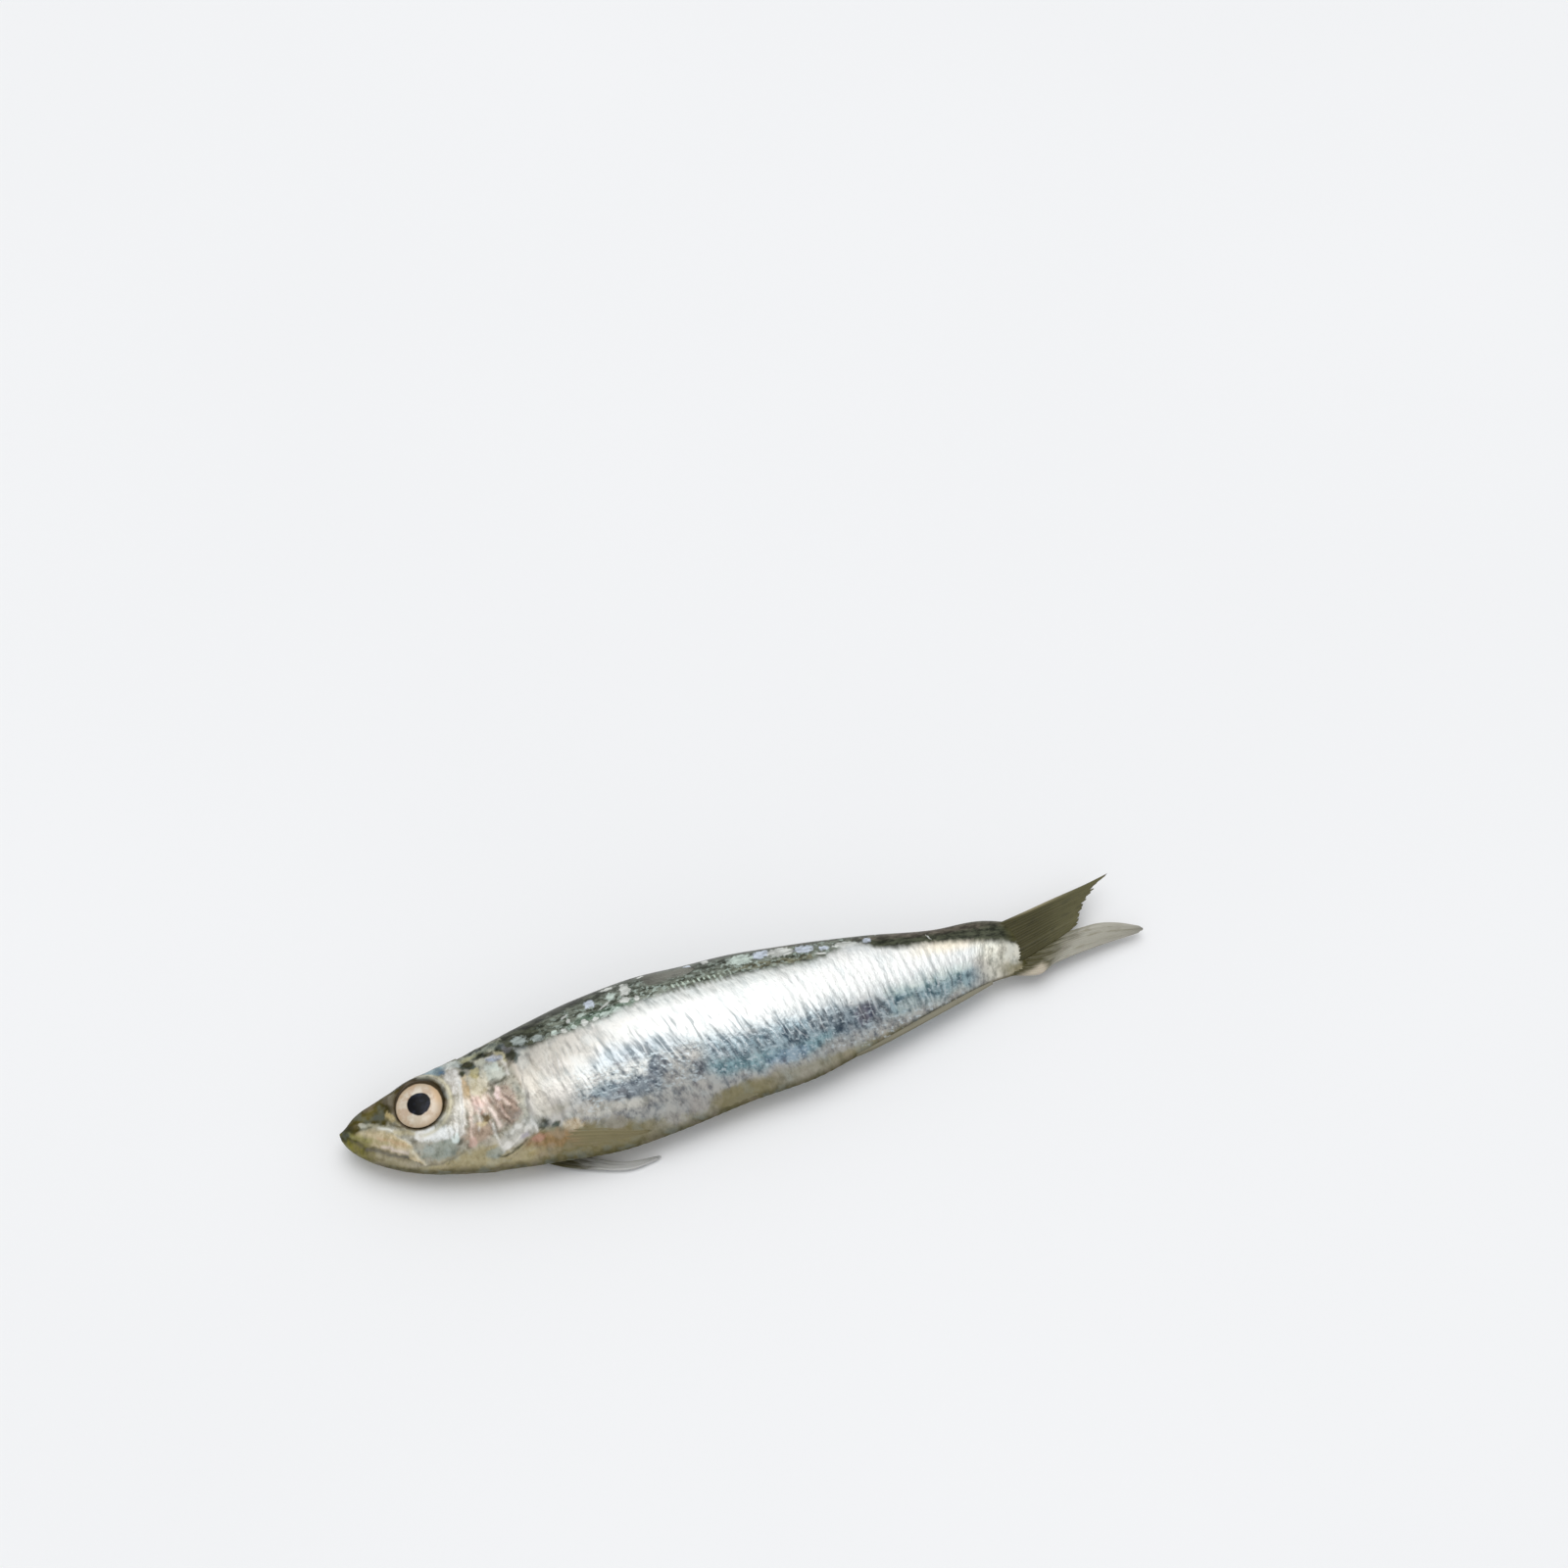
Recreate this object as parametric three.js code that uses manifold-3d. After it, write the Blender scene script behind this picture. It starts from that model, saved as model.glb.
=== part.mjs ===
// One whole raw sardine lying on its right side: left flank up, head at -X, back at +Y, resting on Z = 0.
// It is shaped straight first, in the fish's own frame, in millimetres: x runs from the snout to the tail,
// y from the middle of the body to the back, z from the middle plane to the left flank. At the end the
// straight fish is rolled, bent down a little at both ends, and flattened where it lies on the table.
import * as THREE from "three";
import { mergeVertices } from "three/addons/utils/BufferGeometryUtils.js";
import Module from "manifold-3d";

// Driving sizes of the body
const BODY_LENGTH = 129.5; // snout to the end of the tail stalk
const BACK_LINE = [
  [0, -0.6], [1.2, 0.1], [3.5, 1.7], [9, 3.4], [15, 5.1], [22, 6.0], [28, 7.3], [36, 9.2], [46, 11.2],
  [58, 12.5], [66, 12.2], [76, 12.0], [86, 11.0], [100, 9.3], [113, 7.2], [122, 6.8], [BODY_LENGTH, 4.6],
];
const BELLY_LINE = [
  [0, -0.6], [0.6, -2.8], [2.7, -5.7], [7, -9.2], [12, -11.9], [18, -13.9], [26, -15.6], [36, -16.9],
  [48, -18.0], [58, -17.3], [72, -15.5], [86, -14.2], [92, -12.7], [100, -10.4], [112, -7.0],
  [121, -5.0], [BODY_LENGTH, -4.6],
];
const HALF_WIDTH = [
  [0, 0.9], [1.2, 2.0], [3.5, 2.9], [9, 4.0], [16, 4.9], [24, 5.7], [32, 6.4], [42, 7.1], [56, 7.3],
  [72, 6.8], [88, 5.6], [104, 4.0], [116, 2.7], [124, 1.8], [BODY_LENGTH, 0.8],
];

// How the fish lies
const ROLL = THREE.MathUtils.degToRad(8); // the back is raised, the sharper belly edge is low
const AXIS_HEIGHT = 7.15;
const HEAD_SAG = 2.2;
const HEAD_SAG_FROM = 28;
const TAIL_SAG = 4.8;
const TAIL_SAG_FROM = 80;
const TOTAL_LENGTH = 151;

// Gill cover, mouth and jaw plate on each side of the head
const GILL_EDGE = 33;
const GILL_SWEEP = 9; // how far the gill cover's lower end sweeps forward
const GILL_SWEEP_TOP = 0.2; // as a share of the body's depth, counted from the belly
const GILL_STEP = 0.55;
const CHEEK_EDGE = [[23.0, 4.0], [22.4, -2.3], [20.7, -9.0], [17.5, -12.0]];
const CHEEK_STEP = 0.2;
const MOUTH_LINE = [[0, -1.1], [1.9, -3.1], [5.6, -6.2], [10.2, -9.4]];
const MOUTH_DEPTH = 0.45;
const MOUTH_WIDTH = 0.8;
const JAW_PLATE_EDGE = [[3.0, 0.2], [7.6, -3.4], [10.9, -6.7], [13.0, -11.0]];
const JAW_PLATE_STEP = 0.25;

// Folded dorsal fin, lying on the left of the back's ridge
const DORSAL_FIN = { x: 61.0, y: 10.2, halfLength: 6.5, halfWidth: 2.1, height: 0.5 };

// Eyes
const EYE = { x: 14.8, y: -1.1, radius: 4.45, dome: 1.0, depth: 2.0, gap: 0.3 };

// Fins, each as two edges between which its rays lie
const FIN_ROOT_THICKNESS = 1.2;
const FIN_RIM_THICKNESS = 0.55;
const UPPER_LOBE = {
  outer: [[124.0, 5.4], [130.4, 6.7], [136.0, 7.9], [143.0, 9.3], [148.6, 10.7]],
  inner: [[124.0, -3.6], [129.0, -1.9], [133.0, -0.5], [136.6, 0.8], [139.6, 2.3]],
  rays: 10,
  offset: 0.2,
  hollow: 0.14, // how far the rear margin curves in, as a share of the rays' length
  torn: 0.03, // how far every other ray ends short
};
const LOWER_LOBE = {
  outer: [[124.0, -4.4], [129.4, -5.5], [133.0, -4.1], [141.0, -2.8], [151.0, -1.6]],
  inner: [[124.0, 1.0], [132.0, 1.0], [138.6, 1.4], [143.1, 1.6], [147.0, 0.8], [151.0, -1.2]],
  rays: 8,
  offset: -0.2,
  hollow: 0,
  torn: 0.02,
};
const ANAL_FIN = {
  outer: [[91.6, -12.4], [93.5, -12.5], [100.0, -11.1], [112.0, -7.9], [120.5, -5.4]],
  inner: [[91.6, -11.0], [97.0, -9.6], [103.0, -7.8], [112.0, -5.7], [120.5, -4.2]],
  rays: 2,
  offset: 0,
  hollow: 0,
  torn: 0,
};
const LEFT_PECTORAL = {
  outer: [[31.0, -14.2], [37.0, -15.7], [43.0, -16.7], [48.5, -17.0], [53.0, -16.6]],
  inner: [[31.5, -11.6], [37.5, -12.3], [44.0, -13.6], [49.5, -15.2], [53.0, -16.2]],
  rays: 5,
  hollow: 0,
  torn: 0,
};
const PELVIC = {
  outer: [[64.0, -16.0], [67.0, -15.9], [70.0, -15.5], [73.5, -15.0]],
  inner: [[64.0, -14.9], [67.0, -14.5], [70.0, -14.3], [73.5, -14.6]],
  rays: 2,
  hollow: 0,
  torn: 0,
};
const SKIN_FIN_RISE = 0.35; // how far a folded fin stands out from the skin
const SKIN_FIN_SINK = 0.7; // how deep its inner face lies in the body
// The right pectoral fin lies on the table and shows below the belly; its edges are table positions,
// x from the snout and y from the body's middle plane
const RIGHT_PECTORAL = {
  outer: [[31.5, -13.2], [36.6, -16.3], [41.5, -18.2], [48.0, -20.0], [53.9, -19.4]],
  inner: [[31.0, -9.6], [36.0, -11.6], [41.0, -15.2], [47.0, -18.2], [53.9, -18.9]],
  rays: 4,
  hollow: 0,
  torn: 0,
  rootHeight: 1.9,
  rimHeight: 0.65,
};

// Fineness
const HEAD_RINGS = 30;
const TRUNK_RINGS = 36;
const AROUND = 48;
const EYE_AROUND = 20;
const EYE_RINGS = 12;
const FIN_STEPS = 10;

const { clamp, lerp, smoothstep } = THREE.MathUtils;
const wasm = await Module();
wasm.setup();

// A smooth curve through (place, value) pairs. The places are taken as square roots, which rounds the snout
// off, and the slope at each pair comes from its two neighbours.
function curveThrough(pairs) {
  const place = pairs.map((pair) => Math.sqrt(pair[0]));
  const value = pairs.map((pair) => pair[1]);
  const last = pairs.length - 1;
  const rise = (i) => (value[i + 1] - value[i]) / (place[i + 1] - place[i]);
  const slope = value.map((unused, i) => {
    if (i === 0) return rise(0);
    if (i === last) return rise(last - 1);
    const before = place[i] - place[i - 1];
    const after = place[i + 1] - place[i];
    return (rise(i - 1) * after + rise(i) * before) / (before + after);
  });
  return (x) => {
    const s = Math.sqrt(clamp(x, pairs[0][0], pairs[last][0]));
    let i = 0;
    while (i < last - 1 && s > place[i + 1]) i += 1;
    const span = place[i + 1] - place[i];
    const t = (s - place[i]) / span;
    const start = (1 + 2 * t) * (1 - t) ** 2 * value[i] + t * (1 - t) ** 2 * span * slope[i];
    const end = t * t * (3 - 2 * t) * value[i + 1] + t * t * (t - 1) * span * slope[i + 1];
    return start + end;
  };
}

const backAt = curveThrough(BACK_LINE);
const bellyAt = curveThrough(BELLY_LINE);
const widthAt = curveThrough(HALF_WIDTH);

// Half width of the section at x. c is the cosine round the section: +1 at the belly, -1 at the back.
// The back is round, the head's cheeks are flat, and the belly narrows to an edge behind the head.
function sectionWidth(x, c) {
  const low = (1 + c) / 2;
  const trunk = smoothstep(x, 20, 45) * (1 - 0.6 * smoothstep(x, 95, 125));
  const power = 0.86 + 0.12 * trunk + (0.1 + 0.5 * trunk) * low ** 1.5;
  const sine = Math.sqrt(Math.max(1 - c * c, 0));
  return widthAt(x) * sine ** power * (1 - 0.1 * c);
}

function flankWidth(x, y) {
  const share = (y - bellyAt(x)) / (backAt(x) - bellyAt(x));
  return sectionWidth(x, clamp(1 - 2 * share, -1, 1));
}

// Distance from a point to a line through given points, with its sign: positive on the line's left
function signedDistance(x, y, line) {
  let best = Infinity;
  let sign = 1;
  for (let i = 0; i < line.length - 1; i += 1) {
    const [ax, ay] = line[i];
    const [bx, by] = line[i + 1];
    const length = Math.hypot(bx - ax, by - ay);
    const t = clamp(((x - ax) * (bx - ax) + (y - ay) * (by - ay)) / length ** 2, 0, 1);
    const distance = Math.hypot(x - lerp(ax, bx, t), y - lerp(ay, by, t));
    if (distance < best) {
      best = distance;
      sign = Math.sign((bx - ax) * (y - ay) - (by - ay) * (x - ax)) || 1;
    }
  }
  return best * sign;
}

function gillSweep(share) {
  return -GILL_SWEEP * clamp(1 - share / GILL_SWEEP_TOP, 0, 1) ** 1.5;
}

// Height of the head's bony plates and of the folded dorsal fin above the smooth body
function relief(x, y, share, left) {
  const gillEdge = GILL_EDGE + gillSweep(share);
  const cover = smoothstep(x, 19, gillEdge - 1) * (1 - smoothstep(x, gillEdge, gillEdge + 1));
  let height = GILL_STEP * cover * (1 - smoothstep(share, 0.78, 0.92));
  const cheek = signedDistance(x, y, CHEEK_EDGE);
  height += CHEEK_STEP * smoothstep(-cheek, 0, 0.9) * (1 - smoothstep(-cheek, 2, 7)) * smoothstep(x, 14, 18);
  const mouth = signedDistance(x, y, MOUTH_LINE);
  height -= MOUTH_DEPTH * Math.exp(-((mouth / MOUTH_WIDTH) ** 2)) * smoothstep(x, 0, 1.5);
  const plate = signedDistance(x, y, JAW_PLATE_EDGE);
  height += JAW_PLATE_STEP * smoothstep(-plate, -0.3, 0.6) * smoothstep(mouth, 0.2, 1.2) * (1 - smoothstep(x, 12, 14));
  if (left) {
    const fin = Math.hypot((x - DORSAL_FIN.x) / DORSAL_FIN.halfLength, (y - DORSAL_FIN.y) / DORSAL_FIN.halfWidth);
    height += DORSAL_FIN.height * (1 - smoothstep(fin, 0.6, 1.1));
  }
  return height;
}

// The trunk and head: rings of a sphere carried to the body's sections. The rings bend forward near the
// belly, so that they run along the gill cover's rear edge.
function makeTrunk() {
  const rings = HEAD_RINGS + TRUNK_RINGS;
  const geometry = new THREE.SphereGeometry(1, AROUND, rings);
  const position = geometry.attributes.position;
  for (let i = 0; i < position.count; i += 1) {
    const ring = Math.floor(i / (AROUND + 1));
    const angle = (2 * Math.PI * (i % (AROUND + 1) % AROUND)) / AROUND;
    const c = Math.cos(angle);
    const share = (1 - c) / 2;
    let x = ring <= HEAD_RINGS
      ? (GILL_EDGE + 1) * (ring / HEAD_RINGS) ** 1.35
      : lerp(GILL_EDGE + 1, BODY_LENGTH, (ring - HEAD_RINGS) / TRUNK_RINGS);
    x += gillSweep(share) * smoothstep(x, 8, GILL_EDGE) * (1 - smoothstep(x, GILL_EDGE + 1, 60));
    const y = lerp(bellyAt(x), backAt(x), share);
    const left = angle < Math.PI;
    const sine = Math.abs(Math.sin(angle));
    let width = 0;
    if (ring > 0 && ring < rings) width = sectionWidth(x, c) + relief(x, y, share, left) * smoothstep(sine, 0, 0.5);
    if (ring === 0 || ring === rings) position.setXYZ(i, x, (bellyAt(x) + backAt(x)) / 2, 0);
    else position.setXYZ(i, x, y, left ? width : -width);
  }
  return geometry;
}

function alongEdge(edge, t) {
  const along = t * (edge.length - 1);
  const i = Math.min(Math.floor(along), edge.length - 2);
  const before = edge[Math.max(i - 1, 0)];
  const after = edge[Math.min(i + 2, edge.length - 1)];
  const u = along - i;
  const blend = (axis) => {
    const a = edge[i][axis];
    const b = edge[i + 1][axis];
    const slopeA = (b - before[axis]) / (i > 0 ? 2 : 1);
    const slopeB = (after[axis] - a) / (i + 2 < edge.length ? 2 : 1);
    return (1 + 2 * u) * (1 - u) ** 2 * a + u * (1 - u) ** 2 * slopeA
      + u * u * (3 - 2 * u) * b + u * u * (u - 1) * slopeB;
  };
  return [blend(0), blend(1)];
}

// A thin closed blade: a box whose grid is spread between the fin's two edges, with a hollow, torn rear
// margin. place(x, y, t, side) gives the point for a spot on the blade's upper (side = 1) or lower
// (side = -1) face.
function makeBlade(fin, place) {
  const geometry = new THREE.BoxGeometry(1, 1, 1, FIN_STEPS, fin.rays, 1);
  const position = geometry.attributes.position;
  for (let i = 0; i < position.count; i += 1) {
    const across = position.getY(i) + 0.5;
    const short = fin.hollow * 4 * across * (1 - across) + fin.torn * (Math.round(across * fin.rays) % 2);
    const t = (position.getX(i) + 0.5) * (1 - short);
    const [ax, ay] = alongEdge(fin.outer, t);
    const [bx, by] = alongEdge(fin.inner, t);
    position.setXYZ(i, ...place(lerp(ax, bx, across), lerp(ay, by, across), t, Math.sign(position.getZ(i))));
  }
  return geometry;
}

const bladeThickness = (t) => lerp(FIN_ROOT_THICKNESS, FIN_RIM_THICKNESS, Math.min(t * 1.6, 1));

function makeUprightFin(fin) {
  return makeBlade(fin, (x, y, t, side) => [x, y, fin.offset + (side * bladeThickness(t)) / 2]);
}

// A fin folded against the skin on one side of the body
function makeSkinFin(fin, flank) {
  return makeBlade(fin, (x, y, t, side) => {
    const height = side * flank > 0 ? SKIN_FIN_RISE : -SKIN_FIN_SINK;
    return [x, y, flank * (flankWidth(x, y) + height)];
  });
}

// The fin that lies on the table, brought from its table place into the fish's frame
function makeTableFin(fin) {
  return makeBlade(fin, (x, y, t, side) => {
    const height = lerp(fin.rootHeight, fin.rimHeight, Math.sqrt(t)) + (side * bladeThickness(1)) / 2;
    const up = height - axisHeight(x);
    return [x, y * Math.cos(ROLL) + up * Math.sin(ROLL), up * Math.cos(ROLL) - y * Math.sin(ROLL)];
  });
}

// An eye, or with grow the hollow for it: a lens whose front bulges and whose back sits in the head
function makeEye(flank, grow) {
  const geometry = new THREE.SphereGeometry(1, EYE_AROUND, EYE_RINGS);
  geometry.rotateX(Math.PI / 2);
  const radius = EYE.radius + grow;
  const front = grow > 0 ? EYE.depth + grow : EYE.dome;
  const position = geometry.attributes.position;
  for (let i = 0; i < position.count; i += 1) {
    const z = position.getZ(i);
    position.setXYZ(i, position.getX(i) * radius, position.getY(i) * radius, z * (z > 0 ? front : EYE.depth + grow));
  }
  const slopeX = (flankWidth(EYE.x + 3, EYE.y) - flankWidth(EYE.x - 3, EYE.y)) / 6;
  const slopeY = (flankWidth(EYE.x, EYE.y + 3) - flankWidth(EYE.x, EYE.y - 3)) / 6;
  const facing = new THREE.Vector3(-slopeX, -slopeY, 1).normalize();
  geometry.applyQuaternion(new THREE.Quaternion().setFromUnitVectors(new THREE.Vector3(0, 0, 1), facing));
  geometry.translate(EYE.x, EYE.y, flankWidth(EYE.x, EYE.y));
  if (flank < 0) geometry.rotateY(Math.PI).scale(-1, 1, 1);
  return geometry;
}

// The middle line is highest under the deepest part of the body and sinks towards the snout and the tail
function axisHeight(x) {
  const head = clamp((HEAD_SAG_FROM - x) / HEAD_SAG_FROM, 0, 1);
  const tail = clamp((x - TAIL_SAG_FROM) / (TOTAL_LENGTH - TAIL_SAG_FROM), 0, 1.2);
  return AXIS_HEIGHT - HEAD_SAG * head ** 2 - TAIL_SAG * tail ** 1.6;
}

// Lays the straight fish down, with the flesh flat where it touches the table
function layDown(geometry) {
  const position = geometry.attributes.position;
  for (let i = 0; i < position.count; i += 1) {
    const x = position.getX(i);
    const y = position.getY(i);
    const z = position.getZ(i);
    const height = y * Math.sin(ROLL) + z * Math.cos(ROLL) + axisHeight(x);
    position.setXYZ(i, x, y * Math.cos(ROLL) - z * Math.sin(ROLL), Math.max(height, 0));
  }
  geometry.computeVertexNormals();
  return geometry;
}

function toSolid(geometry) {
  geometry.deleteAttribute("normal");
  geometry.deleteAttribute("uv");
  const merged = mergeVertices(geometry, 1e-4);
  const vertProperties = new Float32Array(merged.attributes.position.array);
  const triVerts = new Uint32Array(merged.index.array);
  const solid = new wasm.Manifold(new wasm.Mesh({ numProp: 3, vertProperties, triVerts }));
  if (solid.volume() > 0) return solid;
  for (let i = 0; i < triVerts.length; i += 3) {
    const swap = triVerts[i];
    triVerts[i] = triVerts[i + 1];
    triVerts[i + 1] = swap;
  }
  return new wasm.Manifold(new wasm.Mesh({ numProp: 3, vertProperties, triVerts }));
}

function toGeometry(solid) {
  const mesh = solid.getMesh();
  const geometry = new THREE.BufferGeometry();
  geometry.setAttribute("position", new THREE.BufferAttribute(new Float32Array(mesh.vertProperties), 3));
  geometry.setIndex(new THREE.BufferAttribute(new Uint32Array(mesh.triVerts), 1));
  return geometry;
}

function makeBody() {
  const fins = [
    makeUprightFin(UPPER_LOBE),
    makeUprightFin(LOWER_LOBE),
    makeUprightFin(ANAL_FIN),
    makeSkinFin(LEFT_PECTORAL, 1),
    makeTableFin(RIGHT_PECTORAL),
    makeSkinFin(PELVIC, 1),
    makeSkinFin(PELVIC, -1),
  ];
  let body = toSolid(makeTrunk());
  for (const fin of fins) body = body.add(toSolid(fin));
  for (const flank of [1, -1]) body = body.subtract(toSolid(makeEye(flank, EYE.gap)));
  return toGeometry(body);
}

const skin = new THREE.MeshStandardMaterial({ color: 0xb4b8b4, roughness: 0.3, metalness: 0.45 });
const eyeball = new THREE.MeshStandardMaterial({ color: 0xd8cbb8, roughness: 0.1, metalness: 0 });

const sardine = new THREE.Group();

function addPiece(name, geometry, material) {
  const mesh = new THREE.Mesh(layDown(geometry), material);
  mesh.name = name;
  sardine.add(mesh);
}

addPiece("body", makeBody(), skin);
addPiece("left_eye", toGeometry(toSolid(makeEye(1, 0))), eyeball);
addPiece("right_eye", toGeometry(toSolid(makeEye(-1, 0))), eyeball);

const box = new THREE.Box3().setFromObject(sardine);
sardine.position.set(-(box.min.x + box.max.x) / 2, -(box.min.y + box.max.y) / 2, -box.min.z);

export default sardine;
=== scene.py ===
import math

import bpy
import numpy as np
from mathutils import Matrix, Vector


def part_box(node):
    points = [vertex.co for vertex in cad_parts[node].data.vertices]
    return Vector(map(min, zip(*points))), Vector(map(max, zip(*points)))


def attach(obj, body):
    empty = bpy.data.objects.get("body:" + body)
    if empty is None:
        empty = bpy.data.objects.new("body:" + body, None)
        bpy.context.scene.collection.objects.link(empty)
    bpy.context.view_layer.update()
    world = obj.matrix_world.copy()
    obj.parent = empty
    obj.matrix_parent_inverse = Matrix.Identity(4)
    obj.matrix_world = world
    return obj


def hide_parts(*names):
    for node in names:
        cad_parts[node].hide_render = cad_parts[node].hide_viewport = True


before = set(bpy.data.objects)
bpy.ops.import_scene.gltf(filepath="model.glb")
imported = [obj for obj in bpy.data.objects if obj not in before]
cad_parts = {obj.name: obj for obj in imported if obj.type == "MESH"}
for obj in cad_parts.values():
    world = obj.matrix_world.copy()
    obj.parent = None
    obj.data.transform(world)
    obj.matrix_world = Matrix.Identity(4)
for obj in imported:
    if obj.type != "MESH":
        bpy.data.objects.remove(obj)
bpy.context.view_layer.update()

# One whole raw sardine on a pale table. It is shaped straight first, in the fish's own frame, in
# millimetres: x from the snout to the tail, y from the middle of the body to the back, z from the middle
# plane to the left flank. lay_down then rolls and bends it as it lies in the frame, in metres.
MM = 0.001
TURN = 2 * math.pi

# Driving sizes of the body
BODY_LENGTH = 129.5
BACK_LINE = [
    (0, -0.6), (1.2, 0.1), (3.5, 1.7), (9, 3.4), (15, 5.1), (22, 6), (28, 7.3), (36, 9.2), (46, 11.2),
    (58, 12.5), (66, 12.2), (76, 12), (86, 11), (100, 9.3), (113, 7.2), (122, 6.8), (BODY_LENGTH, 4.6),
]
BELLY_LINE = [
    (0, -0.6), (0.6, -2.8), (2.7, -5.7), (7, -9.2), (12, -11.9), (18, -13.9), (26, -15.6), (36, -16.9),
    (48, -18), (58, -17.3), (72, -15.5), (86, -14.2), (92, -12.7), (100, -10.4), (112, -7),
    (121, -5), (BODY_LENGTH, -4.6),
]
HALF_WIDTH = [
    (0, 0.9), (1.2, 2), (3.5, 2.9), (9, 4), (16, 4.9), (24, 5.7), (32, 6.4), (42, 7.1), (56, 7.3),
    (72, 6.8), (88, 5.6), (104, 4), (116, 2.7), (124, 1.8), (BODY_LENGTH, 0.8),
]

# How the fish lies
ROLL = math.radians(8)
AXIS_HEIGHT = 7.15
HEAD_SAG = 2.2
HEAD_SAG_FROM = 28
TAIL_SAG = 4.8
TAIL_SAG_FROM = 80
TOTAL_LENGTH = 151
ROOT_THINNING = 0.6  # share of the body's thickness lost where the tail fin starts
ROOT_ROUNDING = 2.6  # how far the body's end is drawn back at its upper and lower edges

# Gill cover, mouth and jaw plate
GILL_EDGE = 33
GILL_SWEEP = 9
GILL_SWEEP_TOP = 0.2
GILL_STEP = 0.45
CHEEK_EDGE = [(23.0, 4.0), (22.4, -2.3), (20.7, -9.0), (17.5, -12.0)]
CHEEK_STEP = 0.2
MOUTH_LINE = [(0, -1.1), (1.9, -3.1), (5.6, -6.2), (10.2, -9.4)]
MOUTH_DEPTH = 0.45
MOUTH_WIDTH = 0.5
JAW_PLATE_EDGE = [(3.0, 0.2), (7.6, -3.4), (10.9, -6.7), (13.0, -11.0)]
JAW_PLATE_STEP = 0.25
PLATE_TOP = [(2.4, -2.2), (4.0, -2.0), (7.0, -3.1), (10.2, -5.4), (13.5, -9.0)]  # of its pale colour
GILL_FAN_CENTRE = (23.6, 3.2)  # where the gill cover's rays start
FAN_RAYS = 15
TAIL_ROOT = 127.3  # where the dark root of the tail fin starts

# Eyes
EYE_X = 14.8
EYE_Y = -1.1
EYE_RADIUS = 4.45
EYE_DOME = 1.0
EYE_DEPTH = 2.0
SOCKET_GAP = 0.2
BROW_GAP = 0.1
BROW_RISE = 0.45
BROW_REACH = 2.2
PUPIL_RADIUS = 2.1

# Where the skin's colours change, as lines along the left flank
BACK_EDGE = [
    (0, 6), (14, 5.5), (24, 5.4), (30, 4.6), (34, 3.3), (37, 3.2), (40, 3.6), (44, 3.9), (48, 4.3),
    (54, 5.4), (58, 6), (64, 6.3), (70, 6.2), (77, 6), (84, 5.7), (91, 5.6), (94, 6.4), (99, 6.7),
    (102, 5.1), (111, 4), (120, 2.4), (126, 1.2), (BODY_LENGTH, 0.4),
]
WHITE_EDGE = [
    (30, -5.4), (44, -5), (53, -4.2), (63, -4.4), (72, -5), (81, -4.8), (90, -4.6), (99, -4.4),
    (109, -3.5), (119, -2.2), (BODY_LENGTH, -1.2),
]
BLUE_EDGE = [
    (30, -9), (43, -10.6), (52, -11), (61, -10.2), (70, -10.7), (79, -11.3), (88, -10.2), (98, -8.5),
    (108, -6.4), (118, -4.5), (BODY_LENGTH, -3.5),
]
BELLY_EDGE = [
    (30, -11.4), (36, -11.7), (42, -13.2), (50, -14.4), (60, -14.6), (66, -13.6), (72, -12.6), (79, -12.3),
    (88, -11.4), (98, -10.2), (108, -8.4), (118, -6), (BODY_LENGTH, -4.6),
]

# Spacing of the thin dark lines on the flank, and of the row of small dashes along the back's edge
LINE_SPACING = 1.3
DASH_SPACING = 0.96

# Fineness of the meshes
HEAD_RINGS = 190
TRUNK_RINGS = 290
AROUND_LEFT = 120
AROUND_RIGHT = 76
EYE_RINGS = 72
EYE_AROUND = 96
FIN_STEPS = 70
POINTS_PER_RAY = 6

TABLE_REACH = 15.0


def srgb(red, green, blue):
    """A colour from its 0 to 255 screen values."""
    screen = np.array([red, green, blue]) / 255
    return np.where(screen <= 0.04045, screen / 12.92, ((screen + 0.055) / 1.055) ** 2.4)


def rgba(red, green, blue):
    return (*srgb(red, green, blue), 1.0)


def pair(*values):
    """A pale and a dark colour from six screen values, or from the pale one's three and how much lower
    each of the dark one's is."""
    pale = values[:3]
    dark = values[3:] if len(values) == 6 else [value - values[3] for value in pale]
    return srgb(*pale), srgb(*dark)


# Small numeric helpers
def step(start, end, x):
    """0 at start, 1 at end, and smooth between. It falls where start is above end."""
    t = np.clip((x - start) / (end - start), 0, 1)
    return t * t * (3 - 2 * t)


def turned(x, y, degrees):
    """An offset as seen in directions that are turned from the x axis."""
    angle = math.radians(degrees)
    return x * math.cos(angle) + y * math.sin(angle), y * math.cos(angle) - x * math.sin(angle)


def lerp(a, b, t):
    return a + (b - a) * t


def curve_through(points):
    """A smooth curve through points, each a place and a value. The places are taken as square roots, which
    rounds the snout off, and the slope at each point comes from its two neighbours."""
    place, value = np.array(points, float).T
    place = np.sqrt(place)
    span = np.diff(place)
    rise = np.diff(value) / span
    slope = np.concatenate([
        rise[:1],
        (rise[:-1] * span[1:] + rise[1:] * span[:-1]) / (span[1:] + span[:-1]),
        rise[-1:],
    ])

    def at(x):
        s = np.clip(np.sqrt(np.maximum(x, 0)), place[0], place[-1])
        i = np.clip(np.searchsorted(place, s, side="right") - 1, 0, len(span) - 1)
        t = (s - place[i]) / span[i]
        start = (1 + 2 * t) * (1 - t) ** 2 * value[i] + t * (1 - t) ** 2 * span[i] * slope[i]
        end = t * t * (3 - 2 * t) * value[i + 1] + t * t * (t - 1) * span[i] * slope[i + 1]
        return start + end

    return at


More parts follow.
